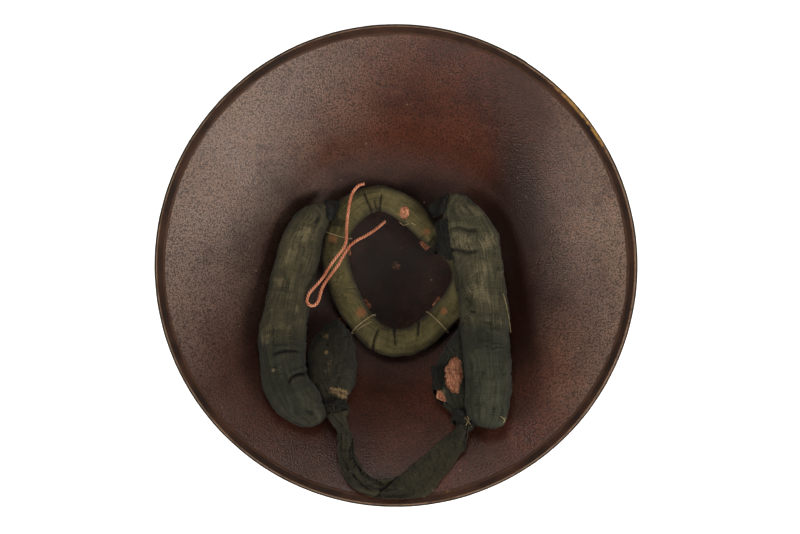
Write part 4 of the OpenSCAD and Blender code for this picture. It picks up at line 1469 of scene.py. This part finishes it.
# %% The finish builder
class Value:
    """One output socket. Arithmetic on it adds Math nodes to its finish."""

    def __init__(self, finish, socket):
        self.finish = finish
        self.socket = socket

    def maths(self, operation, first, second=0.0):
        return self.finish.node("ShaderNodeMath", {"operation": operation}, {0: first, 1: second})

    def __add__(self, other):
        return self.maths("ADD", self, other)

    def __sub__(self, other):
        return self.maths("SUBTRACT", self, other)

    def __rsub__(self, other):
        return self.maths("SUBTRACT", other, self)

    def __mul__(self, other):
        return self.maths("MULTIPLY", self, other)

    def __pow__(self, other):
        return self.maths("POWER", self, other)

    __radd__ = __add__
    __rmul__ = __mul__

    def step(self, low, high, to_low=0.0, to_high=1.0):
        """A smooth step from to_low, under low, to to_high, over high."""
        ends = {"From Min": low, "From Max": high, "To Min": to_low, "To Max": to_high}
        return self.finish.node("ShaderNodeMapRange", {"interpolation_type": "SMOOTHSTEP"}, {"Value": self, **ends})

    def between(self, first, full, fading, last):
        """1 from full to fading and 0 outside first and last, with smooth steps."""
        return self.step(first, full) * self.step(fading, last, 1.0, 0.0)


def tint(red, green, blue):
    """A colour as the screen shows it, from 0 to 255, in the linear numbers that Blender works with."""
    c = np.array([red, green, blue]) / 255
    c = np.where(c <= 0.04045, c / 12.92, ((c + 0.055) / 1.055) ** 2.4)
    return (*c.tolist(), 1.0)


def deeper(colour, share):
    """A colour made darker by a share."""
    return (*(c * share for c in colour[:3]), 1.0)


class Finish:
    """A material whose nodes are added one by one."""

    def __init__(self, name):
        self.material = bpy.data.materials.new(name)
        self.material.use_nodes = True
        self.tree = self.material.node_tree
        self.tree.nodes.clear()

    def node(self, kind, settings=None, inputs=None, output=0):
        """Adds a node, sets it up, links or fills its inputs, and gives the Value of one output."""
        made = self.tree.nodes.new(kind)
        for key, value in (settings or {}).items():
            setattr(made, key, value)
        for key, value in (inputs or {}).items():
            if isinstance(value, Value):
                self.tree.links.new(value.socket, made.inputs[key])
            else:
                made.inputs[key].default_value = value
        return Value(self, made.outputs[output]) if len(made.outputs) else None

    def place(self):
        """The object's own coordinates."""
        return self.node("ShaderNodeTexCoord", output="Object")

    def cloth_uv(self):
        """The cloth's own map, in metres."""
        return self.node("ShaderNodeUVMap", {"uv_map": "cloth"})

    def stored(self, name):
        """A number stored on the mesh's points."""
        return self.node("ShaderNodeAttribute", {"attribute_name": name}, output="Fac")

    def scaled(self, size, at=None, stretch=(1, 1, 1)):
        """Coordinates, the object's own if none are given, counted in steps of a size."""
        return self.node("ShaderNodeVectorMath", {"operation": "MULTIPLY"},
                         {0: at or self.place(), 1: tuple(1 / (size * k) for k in stretch)})

    def noise(self, size, detail=3.0, roughness=0.55, at=None, stretch=(1, 1, 1), distortion=0.0):
        """Noise from 0 to 1 whose lumps are about size metres wide."""
        place = self.scaled(size, at, stretch)
        return self.node("ShaderNodeTexNoise", None, {"Vector": place, "Scale": 1.0, "Detail": detail,
                                                      "Roughness": roughness, "Distortion": distortion})

    def cells(self, size, feature="F1"):
        """The distance to the nearest of many scattered points, about size metres apart."""
        return self.node("ShaderNodeTexVoronoi", {"feature": feature}, {"Vector": self.scaled(size), "Scale": 1.0},
                         output="Distance")

    def split(self, vector):
        """The three coordinates of a vector."""
        made = self.tree.nodes.new("ShaderNodeSeparateXYZ")
        self.tree.links.new(vector.socket, made.inputs[0])
        return [Value(self, s) for s in made.outputs]

    def mix(self, share, first, second):
        """A colour between two, by a share from 0 to 1."""
        return self.node("ShaderNodeMix", {"data_type": "RGBA"}, {0: share, 6: first, 7: second}, output=2)

    def bump(self, height, distance, strength=1.0, under=None):
        """A normal tilted by a height in metres."""
        inputs = {"Height": height, "Distance": distance, "Strength": strength}
        if under:
            inputs["Normal"] = under
        return self.node("ShaderNodeBump", None, inputs)

    def surface(self, **sockets):
        """The closing Principled shader. Underscores in names stand for spaces."""
        inputs = {key.replace("_", " "): value for key, value in sockets.items()}
        shader = self.node("ShaderNodeBsdfPrincipled", None, inputs)
        self.node("ShaderNodeOutputMaterial", None, {"Surface": shader})
        return self.material


def coat(piece, material):
    """Gives a piece its one material."""
    piece.data.materials.clear()
    piece.data.materials.append(material)
    piece.data.polygons.foreach_set("material_index", np.zeros(len(piece.data.polygons), np.int32))


# %% [markdown]
# ## The lacquered lining
# The lining is red-brown lacquer over grained hide. Its pebbled grain is about a millimetre and a half wide and
# catches the light, so the grain is bump and the gloss does the rest. The crown is darker with painted shade,
# darkest at its middle, and painted shade also lies on the wall beside the pads and towards the lower left. The
# brim is paler on both sides, partly dust and partly a painted reflection of the soft boxes, and dark scuffs and
# pale specks are scattered over both.

# %% Lining finish
def lining_finish():
    f = Finish("grained_lacquer")
    x, y, _ = f.split(f.place())
    radius = (x * x + y * y) ** 0.5
    cloud = f.noise(0.075, 3, 0.55)
    fine = f.noise(0.012, 4, 0.6)
    colour = f.mix(cloud.step(0.35, 0.66), tint(62, 30, 20), tint(88, 46, 31))
    colour = f.mix(f.noise(0.03, 5, 0.65, stretch=(1.6, 0.7, 1)).step(0.45, 0.75) * 0.55, colour, tint(56, 29, 22))
    colour = f.mix(fine.step(0.5, 0.8) * 0.35, colour, tint(110, 72, 57))
    # Painted shade: the deep crown is painted dark, and a cloud of patches lets the lining's red-brown show
    # through.
    crown = radius.step(0.068, 0.118, 1.0, 0.0)
    colour = f.mix(crown * 0.85, colour, tint(24, 14, 11))
    colour = f.mix(crown * f.noise(0.02, 4, 0.6).step(0.46, 0.7) * 0.52, colour, tint(78, 44, 33))
    # Painted shade: the crown's middle, deepest in the bowl, is painted nearly black.
    middle = (radius + fine * 0.02).step(0.02, 0.075, 1.0, 0.0)
    colour = f.mix(middle * 0.75, colour, tint(10, 6, 5))
    wall = radius.between(0.078, 0.1, 0.125, 0.16)
    # A cloud that breaks the painted shade towards the lower left into patches.
    shade_patches = cloud.step(0.2, 0.6, 0.6, 1.0)
    # Painted shade: the steep wall beside the pads, left and right, is painted dark.
    beside = wall * (x * x * 40 - y * y * 22).step(-0.05, 0.3)
    colour = f.mix(beside * 0.75, colour, tint(32, 18, 14))
    # Painted shade towards the lower left.
    lower_left = (x * -0.78 - y * 0.62).step(0.05, 0.15) * shade_patches
    colour = f.mix(lower_left * 0.6, colour, tint(40, 21, 16))
    # Paler brim at the left and right: partly dust, partly a painted reflection of the soft boxes.
    left = (x * -0.87 + y * 0.5 + cloud * 0.09).step(0.11, 0.22)
    right = (x * 1.0 + y * 0.1 + cloud * 0.09).step(0.15, 0.26)
    dust_and_sheen = f.noise(0.045, 6, 0.7).step(0.3, 0.7)
    colour = f.mix(left * dust_and_sheen.step(0.0, 0.5, 0.45, 1.0) * 0.5, colour, tint(146, 124, 110))
    colour = f.mix(right * dust_and_sheen.step(0.0, 0.5, 0.3, 1.0) * 0.7, colour, tint(152, 126, 108))
    scuff = f.noise(0.02, 6, 0.72, stretch=(2.2, 0.8, 1)).step(0.63, 0.7)
    colour = f.mix(scuff * 0.6, colour, tint(34, 20, 17))
    speck = f.cells(0.011).step(0.05, 0.085, 1.0, 0.0) * f.noise(0.03, 3).step(0.55, 0.62)
    colour = f.mix(speck * 0.55, colour, tint(176, 150, 130))
    pebbles = f.cells(0.0014) * 0.7 + f.noise(0.0009, 2, 0.5) * 0.4
    colour = f.mix(pebbles.step(0.42, 0.72) * 0.75, colour, tint(30, 16, 11))
    normal = f.bump(f.noise(0.022, 2), 0.0005, 0.3)
    normal = f.bump(pebbles * -1.0, 0.0004, 0.9, normal)
    rough = f.noise(0.06, 4).step(0.3, 0.7, 0.27, 0.4) + pebbles * 0.08 + crown * 0.42
    return f.surface(Base_Color=colour, Roughness=rough, Specular_IOR_Level=0.4, Normal=normal)


coat(lining, lining_finish())


# %% [markdown]
# ## Outside lacquer and rim
# Outside, the shell is nearly black, smooth and a little worn. The rim strip is dark brown, with a paler inner
# lap and a pale line just inside the rim's edge, partly wear and partly a painted highlight on the bead's top. A
# golden ochre shows where its lacquer has come off, mostly at the upper right.

# %% Shell and rim finishes
def shell_finish():
    f = Finish("black_lacquer")
    colour = f.mix(f.noise(0.09, 4).step(0.35, 0.7), tint(30, 24, 21), tint(52, 38, 32))
    wear = f.noise(0.012, 6, 0.7).step(0.62, 0.7) * f.noise(0.08, 2).step(0.45, 0.65)
    colour = f.mix(wear * 0.6, colour, tint(110, 78, 58))
    grain = f.noise(0.004, 4, 0.6)
    normal = f.bump(f.noise(0.03, 2), 0.0008, 0.35)
    normal = f.bump(grain, 0.00012, 0.5, normal)
    return f.surface(Base_Color=colour, Roughness=f.noise(0.05, 4).step(0.3, 0.7, 0.22, 0.4), Coat_Weight=0.35,
                     Coat_Roughness=0.15, Normal=normal)


def inside_edge(*ways):
    """Radii that lie some millimetres inside the rim's edge."""
    return [RIM_RADIUS - way * MM for way in ways]


def rim_finish():
    f = Finish("rim_lacquer")
    x, y, _ = f.split(f.place())
    radius = (x * x + y * y) ** 0.5
    turn = f.node("ShaderNodeMath", {"operation": "ARCTAN2"}, {0: y, 1: x})
    chips = f.noise(0.0065, 6, 0.75)
    crumbs = f.noise(0.0022, 5, 0.7)
    colour = f.mix(f.noise(0.03, 4).step(0.35, 0.7), tint(30, 17, 11), tint(54, 33, 22))
    lapped = (radius + chips * 2 * MM).step(*inside_edge(7.4, 5.6), 1.0, 0.0)
    colour = f.mix(lapped * 0.8, colour, tint(80, 56, 44))
    strip = radius.between(*inside_edge(3.4, 2.9, 1.9, 1.4))
    right = turn.between(-0.9, -0.5, 0.9, 1.2)
    colour = f.mix(strip * right * crumbs.step(0.36, 0.6) * 0.75, colour, tint(116, 88, 70))
    # A pale line along the bead's top: partly wear, partly a painted highlight.
    line = radius.between(*inside_edge(2.9, 2.3, 1.9, 1.4))
    colour = f.mix(line * f.noise(0.012, 4, 0.6).step(0.3, 0.6, 0.3, 0.85), colour, tint(126, 104, 86))
    colour = f.mix(radius.step(*inside_edge(1.6, 1.1)), colour, tint(14, 9, 7))
    upper_right = turn.between(0.46, 0.58, 0.78, 0.9) * radius.between(*inside_edge(4.2, 3.2, 1.4, 0.8))
    lower = turn.between(-1.58, -1.52, -1.36, -1.3)
    bare = upper_right * chips.step(0.4, 0.5) + lower * chips.step(0.6, 0.64) * 0.8 + chips.step(0.71, 0.74) * 0.5
    gold = bare * crumbs.step(0.3, 0.55, 0.35, 1.0)
    colour = f.mix(gold.maths("MINIMUM", gold, 1.0), colour, tint(150, 114, 60))
    return f.surface(Base_Color=colour, Roughness=chips.step(0.3, 0.7, 0.5, 0.65), Specular_IOR_Level=0.14,
                     Normal=f.bump(chips, 0.00035, 0.7))


coat(shell, shell_finish())
coat(rim, rim_finish())


# %% [markdown]
# ## Metal and leather
# The fitting is aged brass with dark grime, and the pin and rivets are rusty iron. The tabs are dry rust-brown
# leather, cracked and mottled with paler patches.

# %% Metal and leather finishes
def brass_finish():
    f = Finish("aged_brass")
    grime = f.noise(0.006, 6, 0.7)
    colour = f.mix(grime.step(0.35, 0.65), tint(150, 118, 66), tint(74, 56, 36))
    return f.surface(Base_Color=colour, Metallic=grime.step(0.3, 0.7, 1.0, 0.55),
                     Roughness=grime.step(0.3, 0.7, 0.32, 0.6), Normal=f.bump(f.noise(0.0015, 4), 0.0001, 0.6))


def iron_finish():
    f = Finish("rusty_iron")
    rust = f.noise(0.0022, 6, 0.7)
    colour = f.mix(rust.step(0.4, 0.65), tint(40, 33, 29), tint(92, 56, 36))
    return f.surface(Base_Color=colour, Metallic=rust.step(0.35, 0.6, 0.85, 0.1),
                     Roughness=rust.step(0.3, 0.7, 0.45, 0.8), Normal=f.bump(rust, 0.00018, 0.8))


def leather_finish():
    f = Finish("tab_leather")
    crack = f.cells(0.0035, feature="DISTANCE_TO_EDGE")
    colour = f.mix(f.noise(0.006, 5, 0.65).step(0.35, 0.68), tint(104, 58, 38), tint(178, 116, 82))
    colour = f.mix(crack.step(0.0, 0.09, 0.7, 0.0), colour, tint(64, 36, 26))
    normal = f.bump(crack.step(0.0, 0.12), 0.0003, 0.7)
    return f.surface(Base_Color=colour, Roughness=0.78, Normal=f.bump(f.noise(0.0012, 4), 0.00015, 0.7, normal))


brass, iron, leather = brass_finish(), iron_finish(), leather_finish()
coat(plate, brass)
coat(pin, iron)
nodes["tab_rivets"].data.materials.clear()
nodes["tab_rivets"].data.materials.append(iron)
for piece in tabs:
    coat(piece, leather)


# %% [markdown]
# ## Cloth
# All covers are one plain weave in several dyes. The weave's height is the thread that lies on top: at each
# crossing the product of two sines says whether it is the lengthwise or the crosswise one, and the sine across
# that thread gives its roundness. Long faded streaks run along the threads, stains cloud the whole piece, and
# the wear stored on the points lightens the places that rubbed. Folds, creases and the faces that turn sideways
# get painted shade.

# %% Cloth finishes
def cloth_finish(name, thread, dyes, lower_dyes):
    """dyes are the colours of the dark and the light threads, of worn places and of stains. lower_dyes are the
    two thread colours of a pad's lower section, if it has one."""
    dark, light, worn, stain = [tint(*dye) for dye in dyes]
    f = Finish(name)
    uv = f.cloth_uv()
    u, v, _ = f.split(uv)
    across, along = u * (math.pi / thread), v * (math.pi / thread)
    across, along = across.maths("SINE", across), along.maths("SINE", along)
    warp_on_top = (across * along).step(-0.08, 0.08)
    round_across = across.maths("ABSOLUTE", across)
    round_along = along.maths("ABSOLUTE", along)
    weave = round_across * warp_on_top + round_along * (1 - warp_on_top)
    streaks = f.noise(0.0015, 3, 0.6, at=uv, stretch=(1, 20, 1))
    bands = f.noise(0.0045, 3, 0.6, at=uv, stretch=(1, 12, 1))
    slubs = f.noise(0.0013, 2, 0.6, at=uv, stretch=(12, 1, 1))
    cloud = f.noise(0.026, 5, 0.62)
    tone = streaks * 0.75 + bands * 0.5 + cloud * 0.7 + slubs * 0.35
    colour = f.mix(tone.step(0.85, 1.45), dark, light)
    if lower_dyes:
        lower_dark, lower_light = [tint(*dye) for dye in lower_dyes]
        colour = f.mix(f.stored("lower"), colour, f.mix(tone.step(0.85, 1.5), lower_dark, lower_light))
    rub = f.stored("wear") * 1.3 + streaks * 0.8 + bands * 0.35 + f.noise(0.0045, 5, 0.7) * 0.9 - 1.4
    colour = f.mix(rub.step(0.0, 0.42) * 0.62, colour, worn)
    colour = f.mix(f.noise(0.017, 5, 0.7).step(0.56, 0.72) * 0.55, colour, stain)
    black = deeper(dark, 0.16)
    gaps = weave.step(0.12, 0.75, 1.0, 0.0) * f.noise(0.012, 3).step(0.3, 0.65, 0.25, 0.75)
    colour = f.mix(gaps, colour, black)
    # Painted shade in the folds and creases, and on the faces that turn sideways.
    colour = f.mix(f.stored("folds").step(0.25, 1.0) * 0.72, colour, black)
    colour = f.mix(f.stored("flank").step(0.12, 0.9) * 0.7, colour, black)
    normal = f.bump(f.noise(0.0075, 4, 0.6), 0.0008, 0.5)
    normal = f.bump(weave * 0.75 + streaks * 0.5, 0.00035, 0.8, normal)
    return f.surface(Base_Color=colour, Roughness=0.94, Sheen_Weight=0.05, Sheen_Roughness=0.6,
                     Specular_IOR_Level=0.18, Normal=normal)


CLOTHS = [
    ("olive_ring_cloth", 0.0013, [ring_skin],
     [(58, 54, 31), (108, 100, 66), (150, 96, 62), (62, 58, 34)], None),
    ("left_pad_cloth", 0.0015, [left_pad],
     [(36, 36, 25), (86, 81, 59), (126, 115, 86), (30, 31, 23)], [(28, 30, 23), (60, 61, 48)]),
    ("right_pad_cloth", 0.0015, [right_pad],
     [(38, 39, 28), (88, 84, 63), (128, 119, 92), (32, 34, 26)], [(34, 37, 29), (70, 72, 58)]),
    ("left_short_cloth", 0.0015, [skins["left_short_pad_cloth"]],
     [(24, 24, 18), (56, 54, 41), (150, 124, 88), (20, 19, 15)], None),
    ("right_short_cloth", 0.0015, [torn_pad],
     [(26, 28, 22), (56, 58, 47), (98, 92, 72), (20, 22, 18)], None),
    ("ribbon_band_cloth", 0.0011, [ribbon, ribbon_end],
     [(30, 30, 21), (56, 52, 38), (150, 132, 96), (25, 25, 19)], None),
    ("dark_rag_cloth", 0.0015, rags,
     [(9, 10, 8), (28, 29, 24), (66, 64, 52), (14, 15, 13)], None),
]
for name, thread, pieces, dyes, lower_dyes in CLOTHS:
    cloth = cloth_finish(name, thread, dyes, lower_dyes)
    for piece in pieces:
        coat(piece, cloth)


# %% [markdown]
# ## Fibre, threads and cord
# The filling is a felt of coarse rust-brown fibres. The dark lashings are greasy, the ties pale, and the long
# cord is orange. On every cord the grooves between the plies get painted shade, so each ply's proud side shows
# paler.

# %% Fibre and thread finishes
def fibre_finish():
    f = Finish("rust_fibre")
    strands = f.noise(0.0013, 5, 0.7, stretch=(1, 6, 2), distortion=1.4)
    cloud = f.noise(0.008, 4)
    colour = f.mix(strands.step(0.36, 0.64), tint(108, 56, 35), tint(224, 160, 124))
    colour = f.mix(cloud.step(0.5, 0.75) * 0.5, colour, tint(122, 66, 44))
    colour = f.mix(f.cells(0.0035).step(0.45, 0.7) * 0.4, colour, tint(74, 36, 24))
    return f.surface(Base_Color=colour, Roughness=0.95, Normal=f.bump(strands, 0.001, 0.9))


def thread_finish(name, dark, light, stain=0.012):
    f = Finish(name)
    hair = f.noise(0.0006, 4, 0.65, stretch=(1, 3, 1))
    cloud = f.noise(stain, 3)
    colour = f.mix((hair * 0.7 + cloud * 0.5).step(0.42, 0.78), dark, light)
    # Painted shade in the grooves between the plies.
    colour = f.mix(f.stored("outer").step(0.45, 0.92, 0.85, 0.0), colour, deeper(dark, 0.22))
    return f.surface(Base_Color=colour, Roughness=0.85, Sheen_Weight=0.04, Specular_IOR_Level=0.25,
                     Normal=f.bump(hair, 0.0002, 0.8))


fibre = fibre_finish()
for piece in scene.objects:
    if piece.get("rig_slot") == "stuffing_fibre":
        coat(piece, fibre)
coat(cord, thread_finish("orange_cord", tint(164, 88, 60), tint(232, 164, 130)))
pale_thread = thread_finish("pale_thread", tint(132, 116, 76), tint(196, 180, 138))
for piece in (threads, hat_stitches, pad_stitches):
    coat(piece, pale_thread)
dark_cord = thread_finish("dark_cord", tint(6, 6, 5), tint(34, 33, 26), stain=0.003)
for piece in (left_lash, right_lash, corner_lash):
    coat(piece, dark_cord)

# %% [markdown]
# ## Light and floor
# Two large soft boxes stand left and right of the hat. The brim slopes inwards, so each side of it mirrors the
# box across from it as a grey veil on the grain, while the steep wall and the crown mirror the dark above and
# the pads. Two smaller boxes light the near and the far part of the bowl. The sky is dim overhead and paler near
# the horizon. The floor is pale.

# %% Light and floor
WARM = (1.0, 0.93, 0.85)


def soft_box(name, place, size, power):
    """An area light that faces the hat."""
    data = bpy.data.lights.new(name, "AREA")
    data.shape = "RECTANGLE"
    data.size, data.size_y = size
    data.energy = power
    data.color = WARM
    lamp = bpy.data.objects.new(name, data)
    lamp.location = place
    lamp.rotation_euler = (Vector((0, 0, 0.08)) - Vector(place)).to_track_quat("-Z", "Y").to_euler()
    scene.collection.objects.link(lamp)


soft_box("right_box", (1.25, -0.85, 1.3), (1.0, 0.75), 27)
soft_box("left_box", (-1.45, -0.45, 1.25), (0.8, 0.7), 15)
soft_box("near_box", (0.05, -0.9, 1.6), (0.6, 0.5), 6)
soft_box("far_box", (-0.05, 0.9, 1.6), (0.6, 0.5), 9)

world = bpy.data.worlds.new("studio")
scene.world = world
world.use_nodes = True
sky = world.node_tree
sky.nodes.clear()
direction = sky.nodes.new("ShaderNodeTexCoord")
coordinates = sky.nodes.new("ShaderNodeSeparateXYZ")
ramp = sky.nodes.new("ShaderNodeMapRange")
for socket, value in {"From Min": 0.0, "From Max": 0.9, "To Min": 0.24, "To Max": 0.1}.items():
    ramp.inputs[socket].default_value = value
background = sky.nodes.new("ShaderNodeBackground")
background.inputs["Color"].default_value = (*WARM, 1)
output = sky.nodes.new("ShaderNodeOutputWorld")
sky.links.new(direction.outputs["Generated"], coordinates.inputs[0])
sky.links.new(coordinates.outputs["Z"], ramp.inputs["Value"])
sky.links.new(ramp.outputs[0], background.inputs["Strength"])
sky.links.new(background.outputs[0], output.inputs["Surface"])

FLOOR_HALF = 6.0
floor_corners = [(x * FLOOR_HALF, y * FLOOR_HALF, 0) for x, y in [(-1, -1), (1, -1), (1, 1), (-1, 1)]]
floor = new_piece("floor", floor_corners, [(0, 1, 2, 3)], smooth=False)
pale = Finish("pale_floor")
seen = pale.node("ShaderNodeLightPath", output="Is Camera Ray")
diffuse = pale.node("ShaderNodeBsdfDiffuse", None, {"Color": (0.8, 0.8, 0.8, 1)})
glow = pale.node("ShaderNodeEmission", None, {"Color": (1, 1, 1, 1), "Strength": 0.72})
lit = pale.node("ShaderNodeAddShader", None, {0: diffuse, 1: glow})
shown = pale.node("ShaderNodeMixShader", None, {0: seen, 1: diffuse, 2: lit})
pale.node("ShaderNodeOutputMaterial", None, {"Surface": shown})
coat(floor, pale.material)
